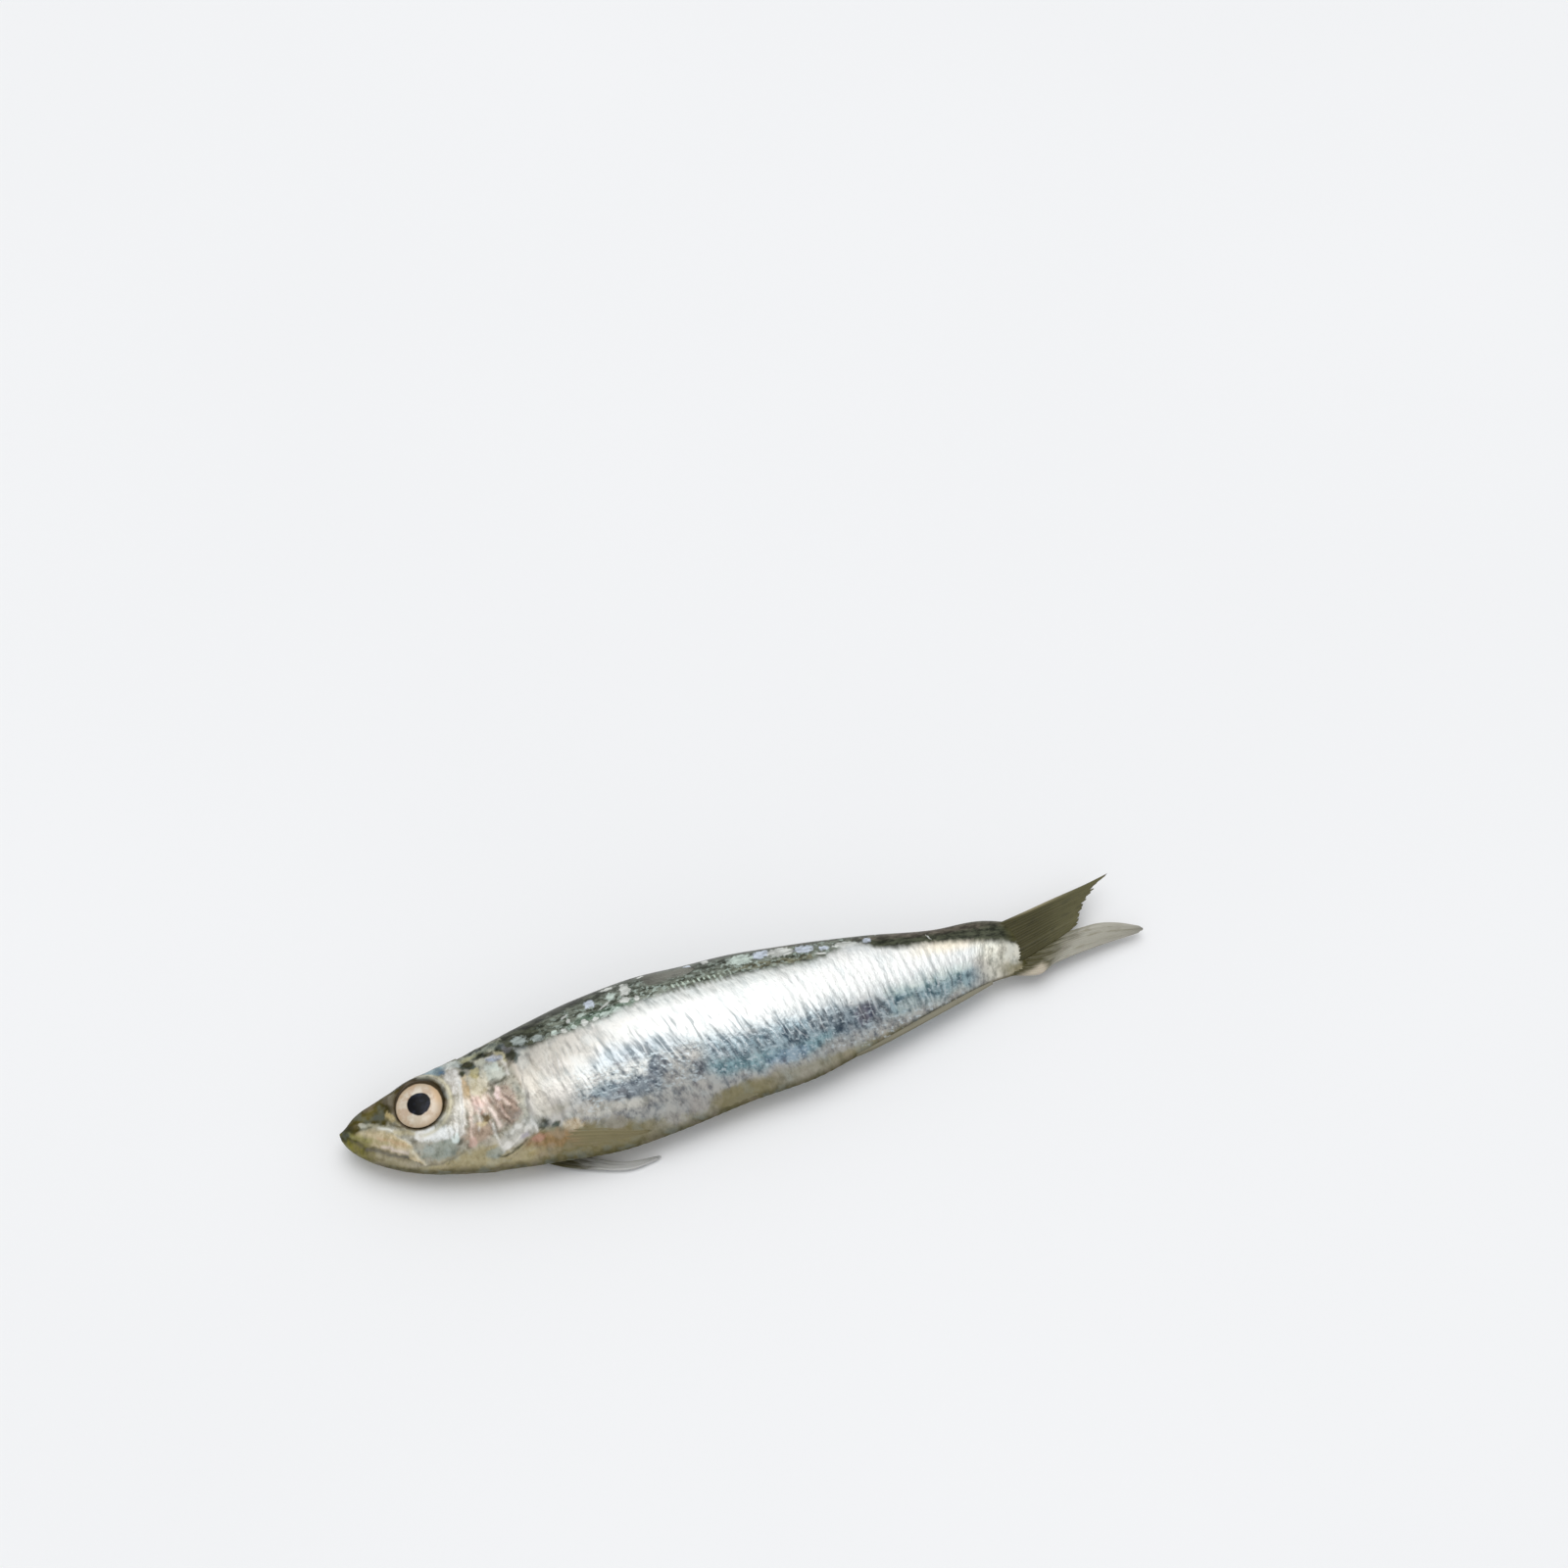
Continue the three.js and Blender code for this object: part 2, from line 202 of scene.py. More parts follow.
def noise(x, y, seed):
    """Smooth random values from -1 to 1, with one hump about every unit."""
    column = np.floor(x).astype(np.int64)
    row = np.floor(y).astype(np.int64)
    across = x - column
    along = y - row
    across = across * across * (3 - 2 * across)
    along = along * along * (3 - 2 * along)

    def corner(i, j):
        key = (i * 374761393 + j * 668265263 + seed * 144665) & 0x7FFFFFFF
        key = ((key ^ (key >> 13)) * 1274126177) & 0x7FFFFFFF
        return ((key ^ (key >> 16)) & 0xFFFF) / 32767.5 - 1

    low = lerp(corner(column, row), corner(column + 1, row), across)
    high = lerp(corner(column, row + 1), corner(column + 1, row + 1), across)
    return lerp(low, high, along)


def rough_noise(x, y, seed):
    return noise(x, y, seed) * 0.6 + noise(x * 2.1, y * 2.1, seed + 7) * 0.4


def wander(x, y, side):
    """The same place moved a little, unevenly, so that edges drawn through it aren't ruled lines."""
    shift_x = 0.3 * rough_noise(x * 0.9, y * 0.9 + side * 60, 61)
    shift_y = 0.3 * rough_noise(x * 0.9, y * 0.9 + side * 60, 67)
    return x + shift_x, y + shift_y


def signed_distance(x, y, line):
    """Distance to a line through given points, positive on the line's left."""
    best = np.full(np.shape(x), 1e9)
    sign = np.ones(np.shape(x))
    for (ax, ay), (bx, by) in zip(line, line[1:]):
        length = math.hypot(bx - ax, by - ay)
        t = np.clip(((x - ax) * (bx - ax) + (y - ay) * (by - ay)) / length**2, 0, 1)
        distance = np.hypot(x - lerp(ax, bx, t), y - lerp(ay, by, t))
        side = np.where((bx - ax) * (y - ay) - (by - ay) * (x - ax) < 0, -1, 1)
        nearer = distance < best
        best = np.where(nearer, distance, best)
        sign = np.where(nearer, side, sign)
    return best * sign


def between(low, high, x, soft):
    return step(low - soft, low + soft, x) * step(high + soft, high - soft, x)


back_at = curve_through(BACK_LINE)
belly_at = curve_through(BELLY_LINE)
width_at = curve_through(HALF_WIDTH)
back_edge_at = curve_through(BACK_EDGE)
white_edge_at = curve_through(WHITE_EDGE)
blue_edge_at = curve_through(BLUE_EDGE)
belly_edge_at = curve_through(BELLY_EDGE)


# The body's form
def section_width(x, c):
    """Half width of the section at x. c is the cosine round it: +1 at the belly, -1 at the back."""
    low = (1 + c) / 2
    trunk = step(20, 45, x) * (1 - 0.6 * step(95, 125, x))
    power = 0.86 + 0.12 * trunk + (0.1 + 0.5 * trunk) * low**1.5
    sine = np.sqrt(np.maximum(1 - c * c, 0))
    return width_at(x) * sine**power * (1 - 0.1 * c)


def flank_width(x, y):
    share = (y - belly_at(x)) / np.maximum(back_at(x) - belly_at(x), 0.01)
    return section_width(x, np.clip(1 - 2 * share, -1, 1))


def axis_height(x):
    head = np.clip((HEAD_SAG_FROM - x) / HEAD_SAG_FROM, 0, 1)
    tail = np.clip((x - TAIL_SAG_FROM) / (TOTAL_LENGTH - TAIL_SAG_FROM), 0, 1.2)
    return AXIS_HEIGHT - HEAD_SAG * head**2 - TAIL_SAG * tail**1.6


def roll(point):
    x, y, z = point[..., 0], point[..., 1], point[..., 2]
    height = y * math.sin(ROLL) + z * math.cos(ROLL) + axis_height(x)
    return np.stack([x, y * math.cos(ROLL) - z * math.sin(ROLL), np.maximum(height, 0)], -1)


def gill_sweep(share):
    return -GILL_SWEEP * np.clip(1 - share / GILL_SWEEP_TOP, 0, 1) ** 1.5


def body_grid():
    """The smooth body's points, one row for each ring, with the share of the depth and the side."""
    rings = HEAD_RINGS + TRUNK_RINGS
    head = (GILL_EDGE + 1) * (np.arange(HEAD_RINGS + 1) / HEAD_RINGS) ** 1.35
    trunk = lerp(GILL_EDGE + 1, BODY_LENGTH, np.arange(1, TRUNK_RINGS + 1) / TRUNK_RINGS)
    ring_x = np.concatenate([head, trunk])[:, None]
    left = np.pi * np.arange(AROUND_LEFT) / AROUND_LEFT
    right = np.pi + np.pi * np.arange(AROUND_RIGHT) / AROUND_RIGHT
    angle = np.concatenate([left, right])[None, :]
    c = np.cos(angle)
    share = np.broadcast_to((1 - c) / 2, (rings + 1, angle.size))
    x = ring_x + gill_sweep(share) * step(8, GILL_EDGE, ring_x) * step(60, GILL_EDGE + 1, ring_x)
    x = x - ROOT_ROUNDING * (2 * share - 1) ** 2 * step(118, BODY_LENGTH, ring_x)
    y = lerp(belly_at(x), back_at(x), share)
    side = np.broadcast_to(np.where(angle < np.pi, 1.0, -1.0), x.shape)
    width = section_width(x, c)
    width *= 1 - ROOT_THINNING * step(BODY_LENGTH - 6, BODY_LENGTH, x)
    width[0] = 0
    width[-1] = 0
    x[-1] = BODY_LENGTH
    y = y.copy()
    y[0] = lerp(belly_at(x[0]), back_at(x[0]), 0.5)
    y[-1] = lerp(belly_at(x[-1]), back_at(x[-1]), 0.5)
    return np.stack([x, y, side * width], -1), share, side


def flank_height(grid):
    """y on the flanks. Over the back and under the belly, where y hardly changes, it goes on growing or
    falling with the distance round the body, so that nothing drawn with it is smeared there."""
    turn = np.diff(grid, axis=1, append=grid[:, :1])
    climb = np.maximum(np.abs(turn[..., 1]), np.abs(turn[..., 2]))
    climb[:, AROUND_LEFT:] *= -1
    height = np.cumsum(climb, axis=1) - climb
    middle = AROUND_LEFT // 2
    return height - height[:, middle:middle + 1] + grid[:, middle:middle + 1, 1]


def eye_frame(flank):
    """The eye's centre and its three directions in the fish's frame; the third faces out."""
    slope_x = (flank_width(EYE_X + 3, EYE_Y) - flank_width(EYE_X - 3, EYE_Y)) / 6
    slope_y = (flank_width(EYE_X, EYE_Y + 3) - flank_width(EYE_X, EYE_Y - 3)) / 6
    out = np.array([-slope_x, -slope_y, 1.0])
    out /= np.linalg.norm(out)
    along = np.array([1.0, 0, 0]) - out * out[0]
    along /= np.linalg.norm(along)
    up = np.cross(out, along)
    mirror = np.array([1, 1, flank])
    centre = np.array([EYE_X, EYE_Y, flank_width(EYE_X, EYE_Y)])
    return centre * mirror, along * mirror, up * mirror, out * mirror


def from_eye(point):
    """Distance from the nearer eye's centre along the eye's plane, and height above that plane."""
    side = np.where(point[..., 2] < 0, -1, 1)
    centre, along, up, out = eye_frame(1)
    offset = point * np.stack([np.ones_like(side), np.ones_like(side), side], -1) - centre
    return np.hypot(offset @ along, offset @ up), offset @ out


def head_relief(x, y, share, side):
    """Height in millimetres of the head's plates, creases and rims above the smooth body."""
    gill_edge = GILL_EDGE + gill_sweep(share) + 0.25 * noise(y / 1.6, side * 9.0, 5)
    cover = step(19, GILL_EDGE - 1, x) * step(gill_edge + 0.8, gill_edge - 0.1, x)
    height = GILL_STEP * cover * (1 - 0.5 * step(0.3, 0.55, share)) * step(0.92, 0.78, share)
    cheek = -signed_distance(x, y, CHEEK_EDGE)
    height += CHEEK_STEP * step(0, 0.35, cheek) * step(7, 2, cheek) * step(14, 18, x)
    mouth = signed_distance(x, y, MOUTH_LINE)
    height -= MOUTH_DEPTH * np.exp(-((mouth / MOUTH_WIDTH) ** 2)) * step(-0.1, 0.4, x)
    plate = -signed_distance(x, y, JAW_PLATE_EDGE)
    height += JAW_PLATE_STEP * step(-0.6, 0.6, plate) * step(0.2, 0.8, mouth) * between(5.5, 13, x, 1)
    # Low rays that spread over the gill cover, and a faint roughness
    fan_x, fan_y = x - GILL_FAN_CENTRE[0], y - GILL_FAN_CENTRE[1]
    fan_reach = np.hypot(fan_x, fan_y)
    fan = noise(np.arctan2(fan_y, fan_x) * 9, side * 3.0, 11) * step(1.5, 4, fan_reach)
    height += 0.07 * fan * step(12, 8, fan_reach) * step(22.5, 24, x) * step(33, 31.5, x)
    height += 0.05 * rough_noise(x / 1.3, y / 1.3 + side * 20, 3) * step(40, 30, x)
    return height


def body_relief(point, y, share, side):
    """Height in millimetres of all relief above the smooth body."""
    x = point[..., 0]
    height = head_relief(*wander(x, y, side), share, side)
    # Rows of scales, broad unevenness, and the scutes along the keel
    trunk = step(GILL_EDGE, GILL_EDGE + 3, x)
    rows = np.sin(TURN * (x + 0.14 * y + 0.25 * noise(x / 6, y / 3, 21)) / 1.5)
    height += 0.025 * rows * step(0.12, 0.3, share) * step(0.8, 0.66, share) * trunk * step(125, 110, x)
    height += 0.09 * noise(x / 9, y / 5 + side * 30, 31) * trunk * step(0.05, 0.2, share)
    scutes = np.abs(np.sin(np.pi * x / 1.7)) * step(0.03, 0.0, share)
    height += 0.07 * scutes * step(28, 34, x) * step(92, 86, x)
    # The skin rises to the eye's rim where the head falls away from it, and sinks inside it
    distance, above_eye = from_eye(point)
    rim = EYE_RADIUS + SOCKET_GAP
    height += np.clip(-above_eye - BROW_GAP, 0, BROW_RISE) * step(rim + BROW_REACH, rim, distance)
    height += 0.16 * np.exp(-(((distance - rim - 0.45) / 0.4) ** 2))
    height -= 0.8 * step(rim - 0.1, rim - 0.5, distance)
    return height


def grid_normals(grid):
    around = np.roll(grid, -1, axis=1) - np.roll(grid, 1, axis=1)
    along = np.gradient(grid, axis=0)
    normal = np.cross(around, along)
    length = np.linalg.norm(normal, axis=-1, keepdims=True)
    normal = normal / np.maximum(length, 1e-9)
    middle = grid.mean(axis=1, keepdims=True)
    outward = np.sign((normal * (grid - middle)).sum(-1, keepdims=True).sum(1, keepdims=True))
    normal = normal * np.where(outward == 0, 1, outward)
    normal[0] = (-1, 0, 0)
    normal[-1] = (1, 0, 0)
    return normal


# Frame placing: the snout is at the CAD body's low X, and the back reaches its high Y
smooth_body, body_share, body_side = body_grid()
body_height = flank_height(smooth_body)
cad_low, cad_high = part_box("body")
SHIFT = np.array([cad_low.x / MM, cad_high.y / MM - roll(smooth_body)[..., 1].max(), 0])


def lay_down(point):
    return (roll(np.asarray(point, float)) + SHIFT) * MM


# Mesh making
def face_outwards(mesh, points):
    """Turns the faces of a closed mesh over if they face its inside."""
    mesh.calc_loop_triangles()
    corners = np.empty(len(mesh.loop_triangles) * 3, np.int32)
    mesh.loop_triangles.foreach_get("vertices", corners)
    a, b, c = (points[corners[i::3]] for i in range(3))
    if (a * np.cross(b, c)).sum() < 0:
        mesh.flip_normals()


def new_piece(name, points, faces, material, replaced=("body",)):
    mesh = bpy.data.meshes.new(name)
    mesh.from_pydata(points.tolist(), [], faces)
    face_outwards(mesh, points)
    mesh.materials.append(material)
    mesh.shade_smooth()
    mesh.update()
    piece = bpy.data.objects.new(name, mesh)
    bpy.context.scene.collection.objects.link(piece)
    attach(piece, "root")
    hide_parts(*replaced)
    return piece


def set_numbers(piece, name, values, kind="FLOAT_VECTOR", key="vector"):
    """Stores a value for each point of a piece's mesh, which the materials read by its name."""
    layer = piece.data.attributes.new(name, kind, "POINT")
    layer.data.foreach_set(key, np.ascontiguousarray(values, np.float32).ravel())


def set_colours(piece, name, values):
    layer = piece.data.color_attributes.new(name, "FLOAT_COLOR", "POINT")
    colours = np.ones((len(values), 4), np.float32)
    colours[:, :3] = values
    layer.data.foreach_set("color", colours.ravel())


def ring_faces(rings, around):
    """Faces of a closed skin of so many rings, of which the first and the last are single points."""
    faces = []
    last = 1 + (rings - 2) * around
    for j in range(around):
        after = (j + 1) % around
        faces.append((0, 1 + after, 1 + j))
        faces.append((last, last - around + j, last - around + after))
    for i in range(rings - 3):
        start = 1 + i * around
        for j in range(around):
            after = (j + 1) % around
            faces.append((start + j, start + after, start + around + after, start + around + j))
    return faces


def ring_values(values):
    """One value for each point of ring_faces, from a value for each spot of the grid."""
    inner = values[1:-1].reshape(-1, *values.shape[2:])
    return np.concatenate([values[:1, 0], inner, values[-1:, 0]])


# Node trees
class Value:
    """A value in a material's node tree. A sum, difference or product of it is a Math node."""

    def __init__(self, shader, socket):
        self.shader = shader
        self.socket = socket

    def __add__(self, other):
        return self.shader.math("ADD", self, other)

    def __sub__(self, other):
        return self.shader.math("SUBTRACT", self, other)

    def __rsub__(self, other):
        return self.shader.math("SUBTRACT", other, self)

    def __mul__(self, other):
        return self.shader.math("MULTIPLY", self, other)


class Shader:
    """A material's node tree, with short ways to add nodes to it."""

    def __init__(self, name):
        self.material = bpy.data.materials.new(name)
        self.material.use_nodes = True
        self.tree = self.material.node_tree
        self.surface = self.tree.nodes["Principled BSDF"]

    def set(self, socket, value):
        if isinstance(value, Value):
            self.tree.links.new(value.socket, socket)
        else:
            socket.default_value = value

    def node(self, kind, inputs, output=0, **settings):
        """Adds a node and gives one of its outputs."""
        node = self.tree.nodes.new("ShaderNode" + kind)
        for key, value in settings.items():
            setattr(node, key, value)
        for key, value in inputs.items():
            self.set(node.inputs[key], value)
        return Value(self, node.outputs[output])

    def math(self, operation, a, b=0.0):
        return self.node("Math", {0: a, 1: b}, operation=operation)

    def step(self, start, end, value):
        """0 at start, 1 at end, and smooth between. It falls where start is above end."""
        inputs = {"Value": value, "From Min": start, "From Max": end}
        return self.node("MapRange", inputs, interpolation_type="SMOOTHSTEP")

    def attribute(self, name, output="Vector"):
        return self.node("Attribute", {}, output, attribute_name=name, attribute_type="GEOMETRY")

    def split(self, vector):
        node = self.tree.nodes.new("ShaderNodeSeparateXYZ")
        self.set(node.inputs[0], vector)
        return [Value(self, socket) for socket in node.outputs]

    def join(self, x, y, z):
        return self.node("CombineXYZ", {0: x, 1: y, 2: z})

    def length(self, x, y):
        return self.node("VectorMath", {0: self.join(x, y, 0.0)}, "Value", operation="LENGTH")

    def noise(self, vector, scale=1.0, detail=2.0, roughness=0.5):
        inputs = {"Vector": vector, "Scale": scale, "Detail": detail, "Roughness": roughness}
        return self.node("TexNoise", inputs)

    def mix(self, factor, a, b):
        """A colour between two."""
        return self.node("Mix", {0: factor, 6: a, 7: b}, 2, data_type="RGBA")

    def blend(self, factor, a, b):
        """A number between two."""
        return self.node("Mix", {0: factor, 2: a, 3: b}, data_type="FLOAT")

    def bump(self, height, distance, **inputs):
        return self.node("Bump", {"Height": height, "Distance": distance, "Strength": 1.0, **inputs})

    def finish(self, **sockets):
        for name, value in sockets.items():
            self.set(self.surface.inputs[name.replace("_", " ")], value)
        return self.material


# Skin colours, pale and dark, in the screen values that pair takes
WHITE = (228, 229, 226, 207, 210, 208)
CREAM_WHITE = (240, 231, 212, 206, 196, 174)
GILL_WHITE = (204, 200, 192, 160, 157, 150)
SILVER = (210, 212, 208, 112, 121, 124)
STREAKED = (212, 218, 218, 134, 144, 147)
BLUE = (160, 181, 189, 62, 82, 96)
CYAN = (150, 182, 188, 84, 114, 122)
SLATE = (136, 146, 154, 50, 60, 72)
MAUVE = (182, 181, 175, 108, 110, 113)
MINT = (222, 238, 230, 128, 160, 160)
BELLY_GREY = (158, 155, 140, 116, 113, 96)
BELLY_OLIVE = (138, 129, 94, 108, 100, 66)
# Painted shade along the keel, where the belly turns away from the light
KEEL_SHADE = (84, 79, 46, 56, 53, 26)
BACK = (82, 85, 68, 34, 37, 26)
BACK_BROWN = (112, 104, 92, 62, 57, 48)
SNOUT = (72, 63, 14, 56, 50, 6)
OLIVE_JAW = (130, 123, 52, 78, 75, 22)
JAW = (160, 151, 120, 44)
PLATE = (206, 191, 158, 160, 145, 108)
HEAD_GREY = (176, 172, 157, 122, 117, 100)
BRIGHT = (246, 244, 238, 206, 201, 190)
GREEN_GREY = (158, 163, 151, 36)
OCHRE = (208, 184, 146, 172, 148, 108)
PINK = (222, 196, 180, 180, 149, 133)
BROWN = (162, 143, 127, 100, 86, 74)
OLIVE_DARK = (70, 71, 48, 30, 33, 20)
ROOT_OLIVE = (76, 72, 38, 58, 55, 26)
FIN_HOLLOW = (166, 136, 98, 122, 100, 64)


class Skin:
    """The skin's colours over a grid of points: a pale and a dark colour, the share that is dark, whether
    the pattern between them runs in streaks, and how metallic it looks. Each area or mark lies over the
    ones before it."""

    def __init__(self, x, y, side):
        self.x, self.y = wander(x, y, side)
        self.side = side
        self.uneven = 0.3 * rough_noise(self.x * 1.3, self.y * 1.3 + side * 40, 17)
        self.uneven += 0.22 * rough_noise(self.x * 3.1, self.y * 3.1 + side * 40, 19)
        pale, dark = pair(*WHITE)
        self.pale = np.broadcast_to(pale, (*x.shape, 3))
        self.dark = np.broadcast_to(dark, (*x.shape, 3))
        self.cover = np.full(x.shape, 0.25)
        self.streaky = np.full(x.shape, 1.0)
        self.metal = np.full(x.shape, 0.5)

    def zone(self, amount, colours, cover, streaky, metal):
        """A wide area, with a pattern of its own."""
        amount = np.clip(amount, 0, 1)
        self.tint(amount, colours)
        self.cover = lerp(self.cover, cover, amount)
        self.streaky = lerp(self.streaky, streaky, amount)
        self.metal = lerp(self.metal, metal, amount)

    def tint(self, amount, colours):
        """colours holds the screen values that pair takes."""
        amount = np.clip(amount, 0, 1)[..., None]
        pale, dark = pair(*colours)
        self.pale = lerp(self.pale, pale, amount)
        self.dark = lerp(self.dark, dark, amount)

    def spot(self, x, y, long, short, turn, colours, amount=1.0, soft=0.3):
        """An oval patch with an uneven rim: half sizes in millimetres, turned from the x axis."""
        along, across = turned(self.x - x, self.y - y, turn)
        reach = np.hypot(along / long, across / short) + self.uneven
        self.tint(amount * step(1 + soft, 1 - soft, reach), colours)

    def line(self, points, width, colours, amount=1.0):
        """A soft stripe through given points."""
        distance = signed_distance(self.x, self.y, points)
        self.tint(amount * np.exp(-((distance / width) ** 2)), colours)

    def marks(self, rows):
        """Spots and lines, from rows of what the methods spot and line take."""
        for row in rows:
            if isinstance(row[0], list):
                self.line(*row)
            else:
                self.spot(*row)


def tail_root(y):
    return TAIL_ROOT - 0.25 * np.abs(y)


def paint_trunk(skin):
    x, y = skin.x, skin.y
    uneven = 0.9 * rough_noise(x / 3, y / 3 + skin.side * 50, 41)
    under_white = white_edge_at(x) - y + uneven
    over_blue_end = y - blue_edge_at(x) + uneven
    over_belly = y - belly_edge_at(x) + 0.5 * uneven

    # The white band is creamier and greyer behind the head, and cream along its top near the tail
    skin.zone(step(64, 38, x), GILL_WHITE, 0.4, 0.8, 0.45)
    skin.tint(step(50, 40, x) * step(-2, 0, y) * 0.55, (168, 164, 154, 130, 127, 118))
    skin.tint(between(44, 92, x, 5) * step(2.6, 5.4, y) * 0.75, (186, 190, 186, 140, 146, 142))
    skin.zone(step(103, 114, x) * step(0.5, 3, y), CREAM_WHITE, 0.3, 0.9, 0.4)
    # Grey streaks thicken towards the lower edge of the band
    streaked = step(-4.5, 1, under_white) * step(40, 46, x) * (1 - 0.6 * step(84, 96, x))
    skin.zone(streaked, STREAKED, 0.38, 1.0, 0.5)
    grey_streaks = between(47, 61, x, 4) * step(-4.8, -1.6, under_white)
    skin.zone(grey_streaks, (190, 198, 202, 108, 118, 124), 0.56, 1.0, 0.5)
    skin.zone(step(-2.6, 0.6, under_white) * between(100, 117, x, 2), MINT, 0.42, 0.8, 0.55)

    # Blue mottles, partly the skin's own colour and partly painted shade of the lower flank
    band = step(-1.0, 1.2, under_white) * step(-1.0, 1.0, over_blue_end)
    skin.zone(band * between(41, 58, x, 3), SILVER, 0.42, 0.5, 0.5)
    skin.marks([
        (50.5, -9.3, 8.4, 1.7, 2, SLATE, 0.9),
        (57, -7, 3.6, 1.7, 38, SLATE, 0.9),
        (46.5, -8.2, 2.2, 1.4, 0, BLUE, 0.5),
    ])
    skin.zone(band * between(58, 66, x, 2), MAUVE, 0.48, 0.45, 0.5)
    skin.spot(64.4, -10.4, 1.1, 3, 12, SLATE, 0.7)
    blue_share = 0.85 + 0.2 * rough_noise(x / 5, y / 2.5, 47)
    skin.zone(band * between(66, 123, x, 2.5) * blue_share, BLUE, 0.48, 0.45, 0.6)
    skin.zone(band * between(87, 99, x, 2.5) * 0.6, SLATE, 0.5, 0.45, 0.55)
    skin.zone(band * between(101, 117, x, 2) * 0.5, CYAN, 0.5, 0.5, 0.6)
    cyan = between(-0.4, 2.2, over_blue_end, 0.9) * between(66, 89, x, 2)
    skin.zone(cyan * 0.9, CYAN, 0.45, 0.3, 0.5)
    skin.zone(step(116, 120, x) * step(0.5, -1, y), MAUVE, 0.5, 0.5, 0.5)

    # Below the blue the skin is grey, then the belly is olive or beige
    skin.zone(step(1.0, -1.0, over_blue_end) * step(36, 42, x), MAUVE, 0.4, 0.35, 0.4)
    skin.spot(47, -11.4, 7.5, 0.9, -3, (212, 210, 200, 52), 0.8)
    below = step(0.7, -0.7, over_belly)
    skin.zone(below * step(30, 34, x), BELLY_GREY, 0.35, 0.25, 0.2)
    skin.zone(below * step(59, 47, x), BELLY_OLIVE, 0.4, 0.25, 0.12)
    skin.zone(below * between(66, 77, x, 2.5) * 0.75, BELLY_OLIVE, 0.3, 0.25, 0.15)
    skin.zone(below * step(83, 92, x) * 0.6, BELLY_OLIVE, 0.3, 0.25, 0.2)
    skin.marks([
        (57.5, -13.6, 3.4, 2.4, 0, MAUVE, 0.7),
        # Around the pectoral and pelvic fins the belly has the colour of the fins
        (42.5, -14.8, 9.5, 2, -6, (132, 123, 90, 114, 106, 74), 0.85),
        (70, -14.4, 5.5, 1.5, 4, (134, 127, 96, 16), 0.7),
        # Marks behind the gill cover
        (32.3, -1, 0.8, 3.4, 0, (234, 222, 210, 200, 186, 172), 0.85),
        (34.8, -3, 2, 4.4, 0, (207, 201, 189, 39), 0.75),
        (37.2, -9.3, 2.6, 0.8, 0, HEAD_GREY, 0.6),
        (35.2, -8.3, 1.5, 2.3, 0, (228, 224, 212, 38), 0.65),
        (34.6, -10.9, 1.4, 0.85, 6, OLIVE_DARK, 0.9),
        (36.9, -11.6, 0.9, 0.5, 6, OLIVE_DARK),
        (39.9, -12.3, 1.8, 0.9, -6, (226, 212, 184, 176, 152, 116), 0.8),
        # Paler and darker patches of the lower flank
        (40.5, -5.8, 5.5, 1.7, -4, (230, 227, 220, 190, 187, 178), 0.5),
        (43.4, -10.3, 2.8, 1.1, -6, (208, 203, 192, 40), 0.6),
        (75, -6.6, 2.2, 1.3, 30, (118, 146, 156, 58, 80, 94), 0.6),
        (95.6, -6.2, 2.1, 1.4, 30, (114, 113, 128, 66, 67, 84), 0.8),
        (103.6, -6, 2.2, 1, 20, (198, 208, 202, 152, 164, 160), 0.6),
        (59.2, -10, 2.2, 1.6, 0, (198, 196, 188, 138, 138, 136), 0.6),
        (89, -10.6, 5, 1.1, 6, (170, 170, 166, 126, 126, 124), 0.6),
        (80.5, -10.2, 4.2, 1.1, 2, (150, 170, 190, 90, 108, 130), 0.6),
        (47.2, -13.9, 2.4, 0.9, -4, (158, 154, 142, 30), 0.8),
        (61.6, -14.2, 2.8, 1.4, 0, (172, 169, 164, 120, 118, 116), 0.9),
        (123.6, -2.2, 1.7, 1.3, 0, (138, 132, 114, 100, 95, 78), 0.8),
    ])

    # Tail stalk, and the dark root of the tail fin with a torn edge
    stalk = step(117, 122, x) * step(4, 1.5, y)
    skin.zone(stalk, (232, 229, 214, 150, 149, 136), 0.4, 0.55, 0.5)
    lower_stalk = step(121, 125, x) * step(-1.8, -3.4, y)
    skin.zone(lower_stalk * 0.85, (156, 145, 112, 104, 96, 62), 0.5, 0.3, 0.2)
    torn = 0.9 * rough_noise(x * 0.6, y * 0.6 + skin.side * 8.0, 53) + 0.4 * noise(x * 2, y * 2, 59)
    skin.zone(step(-0.4, 0.4, x - tail_root(y) + torn), ROOT_OLIVE, 0.5, 0.3, 0.05)


